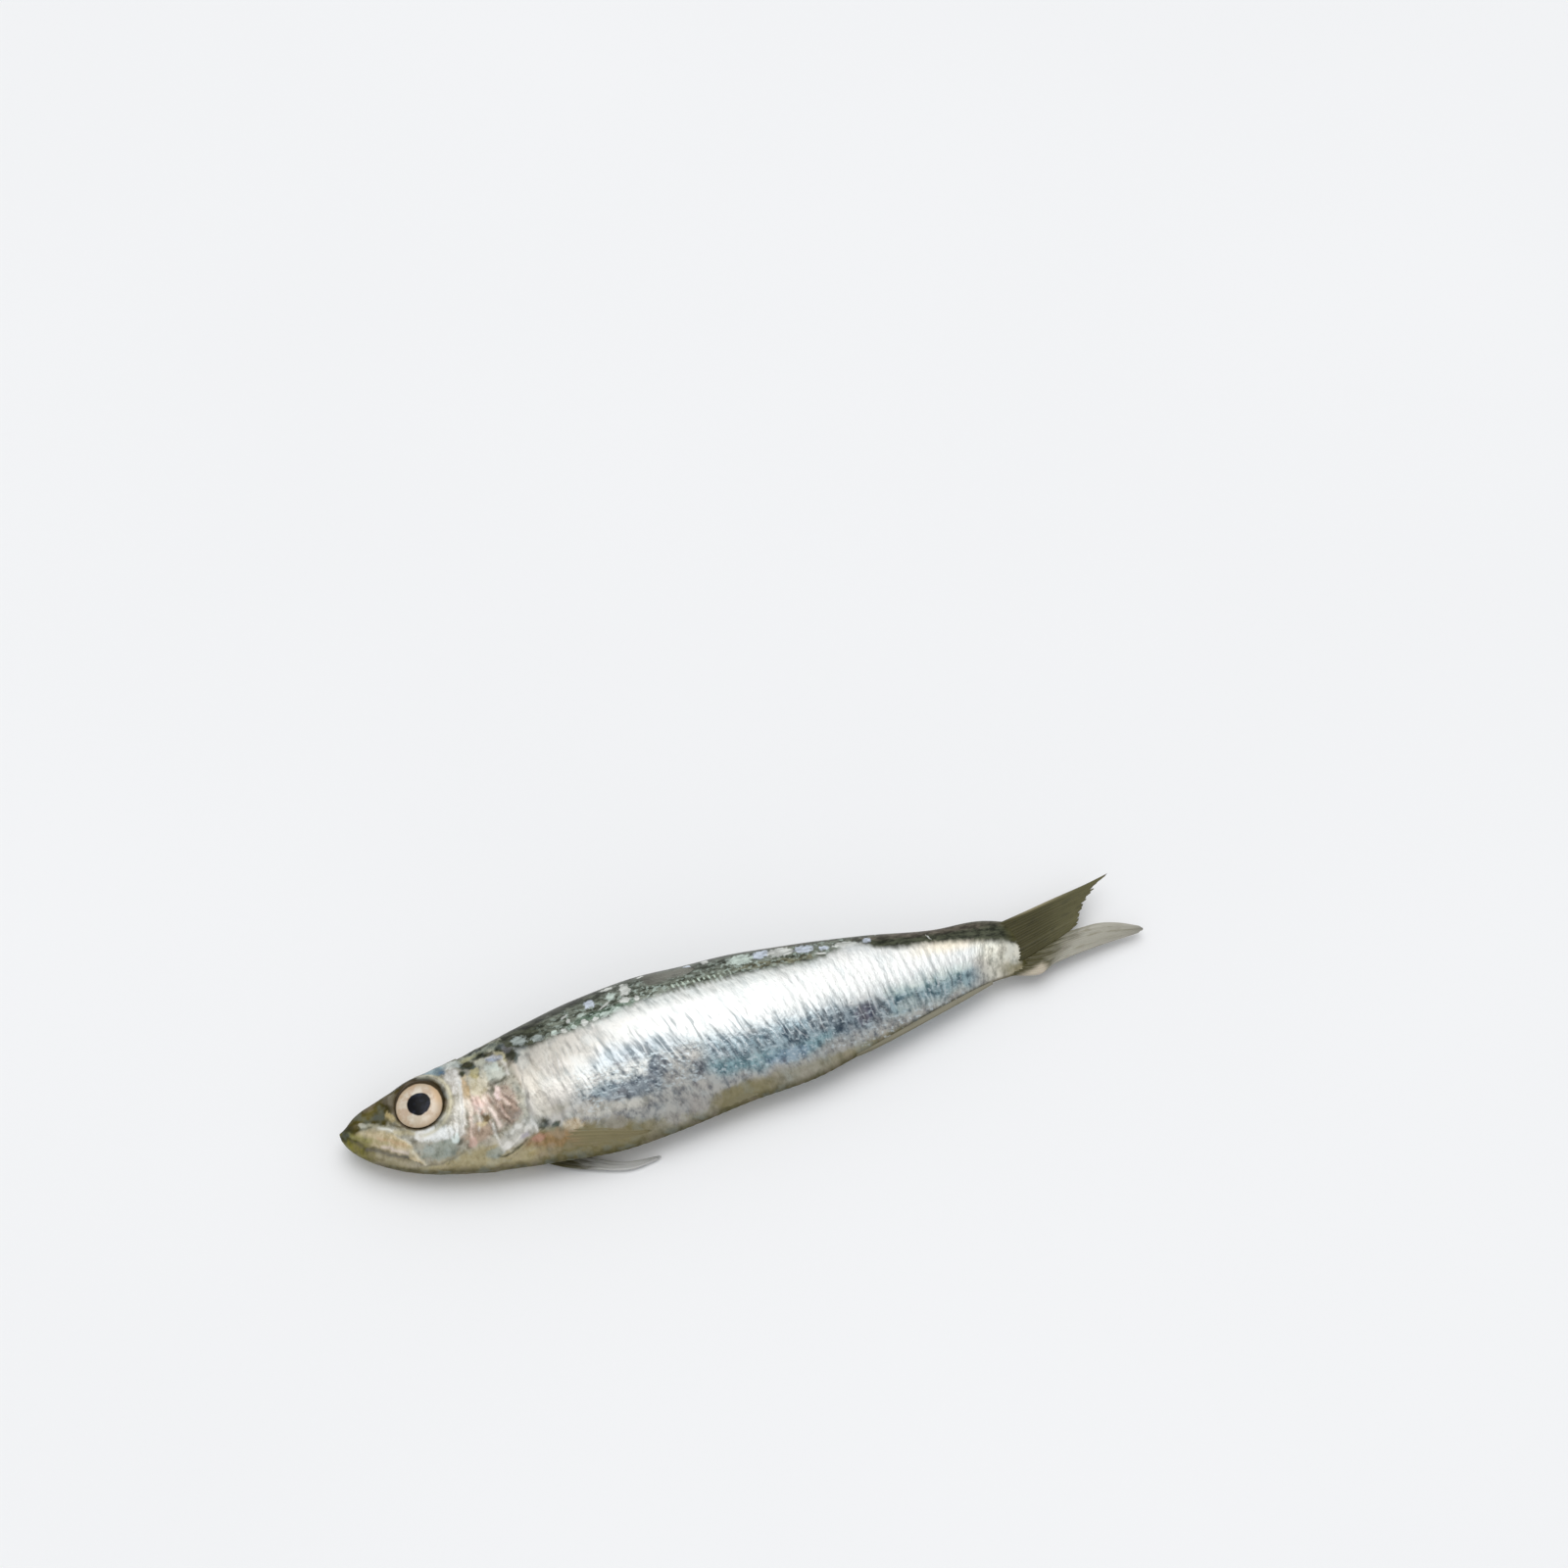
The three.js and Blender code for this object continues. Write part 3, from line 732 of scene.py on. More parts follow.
# Silvery scales left on the dark back, by colour: x, y, half length, half height, turn in degrees
BACK_SCALES = [
    (srgb(172, 182, 178), [(34.6, 5.2, 1.7, 1.25, -20), (37.8, 4.4, 1.4, 0.8, 0)]),
    (srgb(208, 222, 212), [
        (41, 4.4, 0.7, 0.6, 0), (44.7, 4.5, 0.6, 0.6, 0), (50.6, 5.3, 1, 0.7, 0),
        (53, 5.4, 1.2, 0.7, 0), (46.5, 6.5, 0.9, 0.4, 8), (52.5, 8.7, 0.9, 1.1, 0),
        (76.9, 9.4, 2.9, 1.4, 0),
    ]),
    (srgb(224, 226, 220), [
        (42.8, 4.4, 0.6, 0.6, 0), (46.6, 4.8, 0.8, 0.7, 0), (48.7, 4.9, 0.6, 0.5, 0),
        (43.6, 7.2, 0.9, 0.3, 22), (44, 6.1, 0.5, 0.6, 0), (50.8, 7, 1.3, 0.25, 26),
        (52.4, 10.8, 1.6, 0.5, 6), (55.3, 9.3, 1.1, 1.9, 0), (54.7, 7.1, 1.1, 0.8, 0),
        (56.9, 6.8, 0.5, 0.7, 0), (59.2, 11.5, 1.2, 0.4, 0), (70.8, 11.1, 0.9, 0.7, 12),
        (84.2, 9.1, 3.1, 1.25, -4), (91.2, 6.7, 1.2, 0.35, -16),
        (96.2, 7.4, 2.7, 0.8, -8), (102.3, 8.5, 0.2, 0.5, -20), (111.4, 5.3, 0.25, 0.8, 24),
    ]),
    (srgb(214, 223, 236), [
        (48.5, 8.3, 1.1, 1.1, 0), (67.4, 10.8, 0.9, 0.8, 0), (80.8, 9.5, 2, 1.2, 10),
        (88.6, 8.5, 2.2, 1.05, -2), (92.2, 7.7, 1.1, 0.6, -10), (100.2, 7.5, 0.9, 0.7, -10),
    ]),
]


def paint_back(back):
    x, y = back.x, back.y
    back.tint(np.ones_like(x), BACK)
    back.tint(between(40, 98, x, 3) * step(11, 7.5, y) * 0.7, (148, 155, 142, 62, 66, 54))
    back.tint(between(50, 84, x, 4) * step(7.5, 9.5, y) * 0.5, (130, 136, 128, 64, 68, 58))
    back.marks([
        (50, 5.6, 6, 0.9, 4, (112, 136, 118, 44, 56, 44), 0.8),
        (83, 6.9, 7, 0.6, -4, (136, 132, 104, 62, 60, 46), 0.7),
        (112, 6.7, 12, 0.9, -6, BACK_BROWN, 0.95, 0.5),
        (43, 9.3, 7, 0.8, 14, (76, 76, 68, 34, 36, 30), 0.8),
        ([(82, 11), (86, 10.3), (90, 9.4)], 0.2, BACK_BROWN, 0.8),
    ])
    back.tint(step(-2, 1, x - tail_root(y)), ROOT_OLIVE)


def lay_scales(x, y, side):
    """How far inside a scale each point is, from 1 at a middle to 0 at a rim, and the nearest's colour.
    On the right flank they lie a little elsewhere."""
    x = np.where(side < 0, x - 3.3, x)
    y = np.where(side < 0, y + 0.5, y)
    inside = np.full(x.shape, -1.0)
    colour = np.zeros((*x.shape, 3))
    for pale, scales in BACK_SCALES:
        for scale_x, scale_y, long, short, turn in scales:
            along, across = turned(x - scale_x, y - scale_y, turn)
            depth = 1 - np.hypot(along / long, across / short)
            nearer = depth > inside
            inside = np.where(nearer, depth, inside)
            colour = np.where(nearer[..., None], pale, colour)
    return inside, colour


def paint_gill_cover(skin):
    skin.marks([
        (25, -4.4, 1.9, 2.2, 0, PINK, 0.85),
        (24.8, -4.2, 0.9, 1.5, 0, (232, 200, 190, 204, 168, 158), 0.6),
        (29.4, -6.2, 2.7, 3.3, 0, BROWN, 0.95),
        (29.8, -7.3, 1.9, 1.6, 0, (138, 121, 106, 92, 78, 68), 0.85),
        (28.5, -3.8, 0.5, 1, -8, (242, 222, 220, 214, 190, 188), 0.8),
        (23.4, -9.3, 2.9, 1.7, 0, (176, 154, 134, 134, 114, 96), 0.9),
        (22, -10.5, 0.7, 0.9, 10, (210, 176, 162, 180, 144, 130), 0.7),
        # Grey rim along the rear of the cover
        (32.1, -6.2, 0.8, 3.6, 0, (176, 172, 156, 112, 110, 96), 0.85),
        # Silvery lower plates, with bright edges
        (30, -11.4, 4.3, 1.5, 20, (200, 199, 190, 56), 0.95),
        (31.2, -11.9, 0.9, 0.5, 20, (178, 172, 184, 28), 0.7),
        (25.2, -13.2, 1.5, 0.8, 0, GREEN_GREY, 0.8),
        ([(27, -13), (29.4, -12.3), (32.8, -10.6)], 0.2, BRIGHT, 0.4),
        (32, -10.9, 0.9, 0.6, 20, BRIGHT, 0.5),
        (28, -12.6, 1, 0.5, 16, BRIGHT, 0.6),
        (30.4, -10.2, 1.5, 0.35, 24, BRIGHT, 0.5),
        ([(32.9, -9.9), (33.5, -10.9), (33.3, -12)], 0.24, BRIGHT, 0.9),
        # Pale rays that run down from the front of the cover
        ([(25.7, -3.6), (26.6, -6), (27.3, -9.2)], 0.34, (240, 224, 214, 212, 192, 180), 0.8),
        ([(26.2, -8.6), (26.3, -10.6), (26.7, -12.6)], 0.2, BRIGHT, 0.8),
        ([(23.3, -4.6), (22.6, -7.4), (22, -9.8)], 0.26, (240, 222, 208, 220, 196, 180), 0.7),
        ([(24.6, -5.4), (24, -7.6), (23.7, -9)], 0.22, BRIGHT, 0.5),
        ([(28.9, -4.2), (30.4, -6.4), (31.6, -8.2)], 0.2, PINK, 0.55),
        ([(28, -5), (28.8, -7.4), (29.6, -9.2)], 0.2, PINK, 0.5),
        ([(28.5, -3), (29.3, -4.8), (30, -6.2)], 0.26, (226, 206, 194, 196, 172, 160), 0.7),
        ([(27.9, -6), (28.4, -7.8), (29.2, -9)], 0.3, (112, 94, 80, 84, 70, 58), 0.7),
        ([(29.6, -4), (30.9, -6.2), (31.5, -8)], 0.28, (120, 102, 88, 92, 76, 64), 0.6),
        ([(25.6, -8.6), (26.6, -10.2), (27.2, -11.4)], 0.24, (128, 112, 94, 98, 84, 68), 0.35),
        (25, -11.2, 1.3, 0.9, 0, (206, 199, 184, 40), 0.6),
    ])
    # Fine rays, pale and dark by turns, that spread over the cover from its upper front corner
    fan = np.array(GILL_FAN_CENTRE)
    for ray in range(FAN_RAYS):
        angle = math.radians(lerp(-101, -50, ray / (FAN_RAYS - 1)))
        way = np.array([math.cos(angle), math.sin(angle)])
        along = [fan + (4.4 + ray % 3) * way, fan + (11.2 + 0.6 * (ray % 4)) * way]
        if ray % 2:
            skin.line(along, 0.17, (134, 116, 100, 98, 84, 72), 0.5)
        else:
            skin.line(along, 0.17, (232, 216, 206, 200, 182, 170), 0.38)
    # Dark hollow with a yellowish rim
    skin.marks([
        (24.4, -8, 0.9, 0.5, 0, (212, 196, 152, 166, 148, 108), 0.7),
        (25.3, -7.4, 0.75, 0.65, 15, (118, 102, 74, 84, 72, 48)),
        # Smooth oval near the top, with a painted highlight on its top and right rim, and painted shade
        # along its lower rim
        (28.9, 0.2, 1.9, 2.1, 0, (206, 209, 197, 184, 188, 175), 1, 0.2),
        (29.2, 1.1, 1, 0.8, 0, (222, 228, 216, 20), 0.8),
        ([(26.6, -1.5), (27.7, -2.1), (29.2, -1.9), (30.4, -1.2)], 0.36, OLIVE_DARK, 0.8),
        (27.7, -2.9, 0.5, 0.4, 0, OLIVE_DARK, 0.7),
        (28.6, -1.5, 1.1, 0.5, 0, (112, 110, 96, 84, 82, 70), 0.6),
        ([(31, 1.9), (31.3, 0.8), (31.1, -0.8)], 0.26, BRIGHT, 0.7),
        ([(30.3, 4.1), (31.3, 3), (31.3, 2)], 0.3, (206, 198, 156, 166, 158, 114), 0.8),
        # Ochre and yellow along the front
        (22.9, -4, 0.7, 2, 4, (242, 228, 210, 212, 196, 178), 0.7),
        (23.3, 1.4, 0.8, 0.8, 0, (228, 208, 168, 198, 176, 134), 0.6),
        (25.4, -1.2, 1.7, 2.2, 0, (228, 220, 196, 190, 180, 150), 0.75),
        (23.2, -1.2, 0.75, 1.7, 4, OCHRE),
        (23.3, 0.1, 0.5, 0.6, 0, (222, 196, 160, 196, 168, 130), 0.8),
        (25.6, 1.3, 0.9, 1.2, 10, (196, 184, 130, 150, 140, 90), 0.85),
        (27, 0.4, 0.4, 1.6, 0, (226, 222, 204, 196, 190, 168), 0.8),
        (25, -1.6, 0.9, 1.4, 0, (214, 206, 178, 176, 164, 132), 0.7),
        # Dark lines of painted shadow under the plates
        ([(25.9, -13.9), (27.3, -14.1), (28.8, -13.6), (31.6, -12.6)], 0.2, OLIVE_DARK, 0.85),
    ])


def paint_crown(skin):
    x, y = skin.x, skin.y
    crown = step(-0.5, 0.9, y - lerp(2.6, 4.0, step(16, 30, x))) * step(36, 33, x)
    skin.zone(crown * step(15, 19, x), (152, 154, 134, 66, 70, 54), 0.55, 0.15, 0.35)
    skin.marks([
        (24.3, 3.4, 1.5, 0.8, -10, OLIVE_DARK),
        (23.4, 2, 0.7, 0.7, 0, OLIVE_DARK),
        (28, 4.3, 1.9, 0.6, -6, OLIVE_DARK),
        (25.3, 2.6, 0.9, 0.6, 0, OLIVE_DARK),
        (31.2, 4.6, 1, 0.9, 0, OLIVE_DARK),
        (27.2, 6.2, 2.6, 0.45, 14, OLIVE_DARK),
        (29.4, 2.9, 1.4, 0.7, -14, (178, 188, 204, 58), 0.95),
        # Painted highlight along the upper edge of the blue-grey patch
        ([(28.2, 3.5), (29.6, 3.2), (30.8, 2.5)], 0.16, BRIGHT, 0.6),
        (32.8, 2.6, 1.2, 1.5, -14, (64, 66, 50, 36, 38, 26)),
        (35, 3, 1.1, 1, 0, (216, 214, 202, 34), 0.6),
        (32.3, 4.2, 1, 1, 0, (120, 120, 122, 78, 78, 78), 0.8),
        (34.5, 4.6, 1.4, 1.4, -20, (200, 206, 208, 146, 152, 156), 0.9),
        (25, 4.7, 2.2, 0.5, 10, (186, 184, 146, 140, 138, 102), 0.7),
        (29.2, 5.1, 0.5, 0.4, 0, (214, 212, 190, 176, 172, 146), 0.4),
        (21.6, 4.4, 2, 1.1, -10, (214, 220, 214, 46), 0.85),
        (27, 3, 1, 0.8, 0, (212, 210, 190, 178, 175, 154), 0.85),
        # Blue above the eye's rear
        (18.9, 4.2, 2.2, 1.1, -14, (154, 174, 178, 108, 128, 136)),
        (20.2, 3.2, 0.8, 0.5, -20, (112, 144, 166, 84, 114, 138), 0.9),
    ])


def paint_face(skin):
    x, y = skin.x, skin.y
    mouth = signed_distance(x, y, MOUTH_LINE)
    over_mouth = step(-0.1, 0.4, mouth)
    # Cheek, with the bright front edge of the gill cover
    skin.marks([
        (21.4, 1.2, 1.4, 2.6, 0, BRIGHT, 0.9),
        (16.6, -7.2, 3.9, 1.3, -14, (244, 245, 242, 214, 216, 212)),
        (20.9, -5.8, 1.2, 3, -8, BRIGHT, 0.55),
        (13.5, -6.8, 0.9, 1, 0, BRIGHT, 0.9),
        (19.4, -3.2, 0.9, 1.7, -20, (128, 120, 98, 98, 90, 70), 0.85),
        ([(20.9, 0.4), (20.8, -1.6), (20.5, -3.4)], 0.26, (166, 158, 138, 124, 117, 98), 0.7),
        (16.4, -10, 3.6, 1.5, -4, GREEN_GREY, 1, 0.25),
        (14.6, -9.4, 1.2, 0.9, 0, (176, 180, 170, 26), 0.7),
        ([(12.9, -11.5), (16, -12.1), (20.2, -11.7)], 0.24, (128, 124, 106, 30), 0.6),
        (19.4, -9, 0.7, 0.7, 0, (232, 242, 238, 204, 220, 214), 0.8),
        (20, -9.9, 0.6, 0.4, 30, (120, 116, 102, 28), 0.85),
    ])
    for stripe_x in (18.5, 19.5, 20.5):
        stripe = [(stripe_x + 0.6, -4.6), (stripe_x, -7.0), (stripe_x - 0.3, -8.8)]
        skin.line(stripe, 0.16, (156, 154, 142, 30), 0.6)
    skin.marks([
        ([(22.5, 2.8), (22.3, -1.5), (21.6, -5), (20.9, -8.6)], 0.34, BRIGHT, 0.85),
        (20.3, -0.6, 0.5, 2.2, -4, (176, 170, 152, 132, 126, 110), 0.8),
    ])

    # Snout, dark olive above and mottled with brown
    snout = step(0.9, -0.9, x - lerp(8.6, 14.5, step(-3.4, 3.2, y))) * over_mouth
    skin.zone(snout, SNOUT, 0.45, 0.15, 0.0)
    skin.marks([
        (6.6, 1.9, 1.4, 0.6, 20, (116, 94, 46, 84, 66, 28), 0.35),
        (5.6, 0.3, 2.4, 1.1, 24, (104, 95, 44, 86, 78, 32), 0.8, 0.6),
        (9.6, 0.8, 0.9, 1.7, 12, (62, 56, 24, 46, 42, 14), 0.8),
        (14, 4, 2.6, 0.8, 14, (82, 78, 70, 54, 51, 44), 0.9),
        (1.1, -0.8, 1.3, 1, -30, (56, 55, 28, 38, 38, 16), 0.95),
        # Side of the snout, greyer, with painted highlights: a pale glint and a bright streak
        (6.4, -2.7, 2.9, 0.9, -33, (166, 162, 140, 118, 114, 90), 0.95),
        (4.3, -1.1, 0.7, 0.45, -30, (206, 202, 186, 170, 166, 148), 0.7),
        ([(7, -2.9), (8.4, -3.8), (9.6, -4.5)], 0.3, (228, 227, 218, 198, 195, 182), 0.9),
        ([(9.4, -4.5), (11, -5.1), (12.4, -5.8)], 0.4, (204, 194, 160, 164, 152, 116), 0.85),
        ([(3.8, -2), (5.6, -2.3)], 0.2, OLIVE_DARK, 0.6),
        (10.5, 1.3, 0.8, 1.1, 10, (160, 154, 134, 32), 0.3),
        # Fold under the front of the eye, ochre, with painted shade along its crease
        (9.2, -1.7, 0.55, 1.2, 20, (194, 178, 132, 156, 138, 92), 0.95),
        ([(8.6, -1.6), (9.2, -3.2), (10.6, -4.1), (11.8, -4.3)], 0.24, (104, 94, 54, 78, 70, 38), 0.85),
        (10.7, -3.3, 1.1, 0.5, -35, (150, 140, 98, 116, 106, 66), 0.7),
        (12.1, -7.1, 0.7, 0.45, -30, (136, 132, 118, 26), 0.8),
    ])

    # Upper jaw plate, streaked along its length
    plate = step(-0.3, 0.3, -signed_distance(x, y, JAW_PLATE_EDGE)) * over_mouth * step(13.4, 12.4, x)
    plate *= step(-0.4, 0.7, -signed_distance(x, y, PLATE_TOP))
    skin.zone(plate, PLATE, 0.4, 0.0, 0.2)
    skin.marks([
        ([(3.4, -3), (5.4, -4.6), (7.4, -5.8)], 0.5, (176, 170, 124, 140, 133, 88), 0.45),
        ([(6.4, -4.4), (8.4, -5.8), (10.6, -7.4)], 0.3, (208, 178, 140, 32), 0.6),
        ([(6.6, -6), (8.8, -7.5), (10.6, -8.6)], 0.34, (226, 212, 198, 200, 184, 168), 0.85),
        ([(11.7, -8.7), (12.4, -10.1), (13.1, -11.3)], 0.2, (224, 216, 192, 196, 186, 158), 0.9),
    ])

    # Lower jaw, yellow olive in front
    jaw = (1 - over_mouth) * step(14, 9, x)
    skin.zone(jaw, JAW, 0.4, 0.1, 0.15)
    skin.zone(step(1.2, -0.1, mouth) * step(6.5, 2.5, x), OLIVE_JAW, 0.45, 0.1, 0.1)
    skin.marks([
        ([(1.5, -1.8), (3.2, -3.3), (4.8, -4.4)], 0.5, (150, 146, 88, 112, 108, 58), 0.8),
        (0.6, -1.7, 1.1, 0.9, -40, (56, 55, 24, 38, 38, 14), 0.9),
        ([(0.3, -1.2), (1.6, -2.9), (4, -5.3)], 0.25, (78, 76, 40, 54, 52, 26), 0.85),
        ([(4, -5.3), (6.4, -7.1), (8.4, -8.4), (10.4, -9.4)], 0.3, (112, 108, 98, 84, 80, 68), 0.85),
        ([(5.2, -6.8), (8, -8.9), (11.2, -10.8)], 0.3, (176, 168, 144, 150, 142, 116), 0.6),
    ])


def paint_head(skin):
    x, y = skin.x, skin.y
    head = step(GILL_EDGE + 0.6, GILL_EDGE - 1.4, x)
    skin.zone(head, HEAD_GREY, 0.36, 0.1, 0.35)
    throat = step(0.9, -0.9, y + 11.6)
    skin.zone(throat * head, (178, 167, 132, 36), 0.35, 0.2, 0.2)
    paint_gill_cover(skin)
    paint_crown(skin)
    paint_face(skin)
    # Painted shade darkens the upper half of the head behind the eye, up to the crown
    darker = 1 - 0.24 * (between(18, 37, x, 2) * step(-4.5, -1, y) * step(4.4, 2.6, y))[..., None]
    skin.pale = skin.pale * darker
    skin.dark = skin.dark * darker
    # Painted shadow in the gap of the eye socket, and the thin clear skin around it
    rim = EYE_RADIUS + SOCKET_GAP
    distance = from_eye(smooth_body)[0]
    ring = np.exp(-(((distance - rim - 1.0) / 0.3) ** 2)) * step(12, 15, x)
    skin.tint(ring * 0.7, (212, 206, 178, 178, 170, 138))
    socket = step(rim + 0.5, rim - 0.1, distance)
    skin.zone(socket, (78, 66, 36, 58, 47, 25), 0.5, 0, 0.0)
    # Hollow behind the gill cover, where the pectoral fin starts
    skin.marks([
        (35.6, -13.5, 4.2, 1.2, -4, FIN_HOLLOW, 0.9),
        (33.4, -12.9, 1.2, 0.5, 0, (188, 144, 124, 156, 116, 98), 0.8),
        (32.4, -14.9, 1.4, 0.5, 0, (178, 162, 106, 140, 124, 74), 0.8),
        (33.8, -15.3, 2.6, 0.8, -6, (166, 152, 124, 132, 118, 92), 0.6),
    ])


def wet_skin():
    """Silvery skin: a pale and a dark colour in streaks or blotches, thin dark lines and bright flecks on
    the flank, a dark back with a soft toothed edge and silvery scales left on it, and fine relief."""
    m = Shader("wet_skin")
    place = m.attribute("fish_place")
    cover, streaky, metal = m.split(m.attribute("skin_pattern"))
    lean, lines_amount, fleck_amount = m.split(m.attribute("skin_lines"))
    above_edge, rows, inside_scale = m.split(m.attribute("skin_back"))
    crumb_amount = m.attribute("skin_crumbs", "Fac")
    back_dark = m.attribute("back_dark", "Color")
    scale_colour = m.attribute("scale_colour", "Color")
    x, y, z = m.split(place)

    def skin_noise(along, along_scale, up_scale, detail=3.0, roughness=0.6, scale=1.0):
        place_in_noise = m.join(along * along_scale, y * up_scale, z * 0.4)
        return m.noise(place_in_noise, scale, detail, roughness)

    # Streaks run across the body, blotches are round
    streaks = skin_noise(lean, 0.8, 0.2, 3.0, 0.55)
    blotches = skin_noise(x, 1.0, 0.85, 4.0, 0.62, 0.8)
    crumbs = skin_noise(lean, 2.0, 1.3)
    pattern = m.blend(streaky, blotches * 0.8 + crumbs * 0.2, streaks * 0.84 + crumbs * 0.16)
    threshold = (cover - 0.5) * 0.3 + 0.5
    softness = metal * -0.24 + 0.22
    is_dark = m.step(softness * -1.0, softness, threshold - pattern)
    colour = m.mix(is_dark, m.attribute("skin_pale", "Color"), m.attribute("skin_dark", "Color"))

    # Thin dark and bright lines, and small flecks
    jitter = skin_noise(lean, 0.3, 0.12, 2.0, 0.5)
    wave = m.math("SINE", (lean * (1 / LINE_SPACING) + jitter * 3.0) * TURN)
    broken = m.step(0.42, 0.6, skin_noise(lean, 0.7, 0.2, 2.0, 0.5)) * lines_amount
    colour = m.mix(m.step(0.25, 0.98, wave) * broken * 0.62, colour, rgba(104, 114, 118))
    colour = m.mix(m.step(-0.35, -0.98, wave) * broken * 0.45, colour, rgba(232, 236, 236))
    flecks = skin_noise(lean, 0.9, 1.5, scale=1.1)
    colour = m.mix(m.step(0.54, 0.65, flecks) * fleck_amount * 0.85, colour, rgba(206, 218, 222))
    colour = m.mix(m.step(0.45, 0.34, flecks) * fleck_amount * 0.6, colour, rgba(56, 70, 84))
    # Faint warm and cool sheens
    sheen = skin_noise(lean, 0.35, 0.3, 2.0, 0.5)
    colour = m.mix(m.step(0.5, 0.68, sheen) * 0.08, colour, rgba(222, 206, 196))
    colour = m.mix(m.step(0.5, 0.32, sheen) * 0.1, colour, rgba(180, 202, 210))

    # Dark back, with crumbs of silver and scales left on it
    teeth = skin_noise(lean, 0.9, 0.4, 3.0, 0.55)
    height = above_edge + (teeth - 0.5) * 1.6
    back = m.step(-0.8, 0.8, height)
    back_noise = skin_noise(x, 0.45, 1.2, 5.0, 0.66)
    back_colour = m.mix(m.step(0.34, 0.66, back_noise), back_dark, m.attribute("back_pale", "Color"))
    crumb_noise = skin_noise(x, 1.1, 1.6)
    pale_crumbs = m.step(0.52, 0.61, crumb_noise) * m.step(5.5, 3.0, height) * crumb_amount
    back_colour = m.mix(pale_crumbs * 0.75, back_colour, rgba(176, 190, 180))
    scale_rim = skin_noise(x, 1.0, 1.0, 3.0, 0.55, 1.5)
    on_scale = m.step(-0.05, 0.4, inside_scale + (scale_rim - 0.5) * 1.5)
    dull_scale = m.mix(0.45, scale_colour, back_dark)
    shaded_scale = m.mix(m.step(0.35, 0.65, back_noise), dull_scale, scale_colour)
    back_colour = m.mix(on_scale * 0.92, back_colour, shaded_scale)
    colour = m.mix(back, colour, back_colour)
    # A row of small dashes, with dark teeth under them
    dash_wave = m.math("SINE", (x + y * 0.25) * (TURN / DASH_SPACING))
    dash_band = m.step(0.65, 0.2, m.math("ABSOLUTE", above_edge - 1.0)) * rows
    teeth_band = m.step(1.0, 0.2, m.math("ABSOLUTE", above_edge - 0.1)) * rows
    dashes = m.step(-0.1, 0.8, dash_wave) * dash_band * m.step(0.34, 0.5, scale_rim)
    dark_teeth = m.step(0.2, -0.7, dash_wave) * teeth_band
    colour = m.mix(dark_teeth * 0.5, colour, rgba(96, 98, 84))
    colour = m.mix(dashes * 0.85, colour, rgba(196, 210, 194))

    rough = (0.55 - metal) * 0.45 + 0.2 + m.noise(place, 1.3, 3.0, 0.6) * 0.18
    metallic = metal * (1.0 - back * 0.85)
    normal = m.bump(crumbs, 0.00005, Normal=m.bump(pattern, 0.00012))
    return m.finish(
        Base_Color=colour, Metallic=metallic, Roughness=rough, Normal=normal, Coat_Weight=0.05,
        Coat_Roughness=0.2, Specular_IOR_Level=0.1,
    )


def streak_lean(x):
    """How far the streaks lean: their lower ends point to the tail, and near the tail to the head."""
    return lerp(0.22, 0.45, step(40, 60, x)) - 0.3 * step(80, 95, x) - 0.55 * step(105, 122, x)


def make_body():
    relief = body_relief(smooth_body, body_height, body_share, body_side)
    points = smooth_body + grid_normals(smooth_body) * relief[..., None]
    points[0] = points[0].mean(axis=0)
    points[-1] = points[-1].mean(axis=0)
    faces = ring_faces(*points.shape[:2])
    body = new_piece("sardine_body", lay_down(ring_values(points)), faces, wet_skin())

    x, y = smooth_body[..., 0], body_height
    skin = Skin(x, y, body_side)
    paint_trunk(skin)
    paint_head(skin)
    # Painted shade: a dark olive line along the keel, where the belly turns away from the light
    skin.zone(step(0.045, 0.0, body_share) * step(2, 6, x) * 0.85, KEEL_SHADE, 0.5, 0.2, 0.1)
    back = Skin(x, y, body_side)
    paint_back(back)
    inside_scale, scale_colour = lay_scales(x, y, body_side)
    nape = step(28, 33, x + 1.6 * rough_noise(y * 0.5, x * 0.5, 43))
    above_edge = lerp(-9.0, y - back_edge_at(x), nape)
    dash_row = step(62, 64, x) * step(75, 74, x)
    crumbs = between(40, 98, x, 4) * (0.7 + 0.3 * noise(x / 5, y / 3, 83))
    # Thin lines and flecks on the flank
    lean = x + streak_lean(x) * (y - 2)
    under_white = white_edge_at(x) - y
    top = lerp(-6.0, -2.2, step(66, 86, x))
    lines = step(36, 42, x) * step(top - 1.5, top + 1.5, under_white) * step(4.5, 1.5, under_white)
    lines *= step(120, 112, x) * lerp(0.65, 1.0, step(52, 64, x))
    flecks = step(40, 44, x) * between(-1.0, 6.5, under_white, 1.0) * 0.7 * step(119, 112, x)
    for name, numbers in (
        ("fish_place", (x, y, smooth_body[..., 2])),
        ("skin_pattern", (skin.cover, skin.streaky, skin.metal)),
        ("skin_lines", (lean, lines, flecks)),
        ("skin_back", (above_edge, dash_row, inside_scale)),
    ):
        set_numbers(body, name, ring_values(np.stack(numbers, -1)))
    for name, colour in (
        ("skin_pale", skin.pale), ("skin_dark", skin.dark), ("back_pale", back.pale),
        ("back_dark", back.dark), ("scale_colour", scale_colour),
    ):
        set_colours(body, name, ring_values(colour))
    set_numbers(body, "skin_crumbs", ring_values(crumbs), "FLOAT", "value")


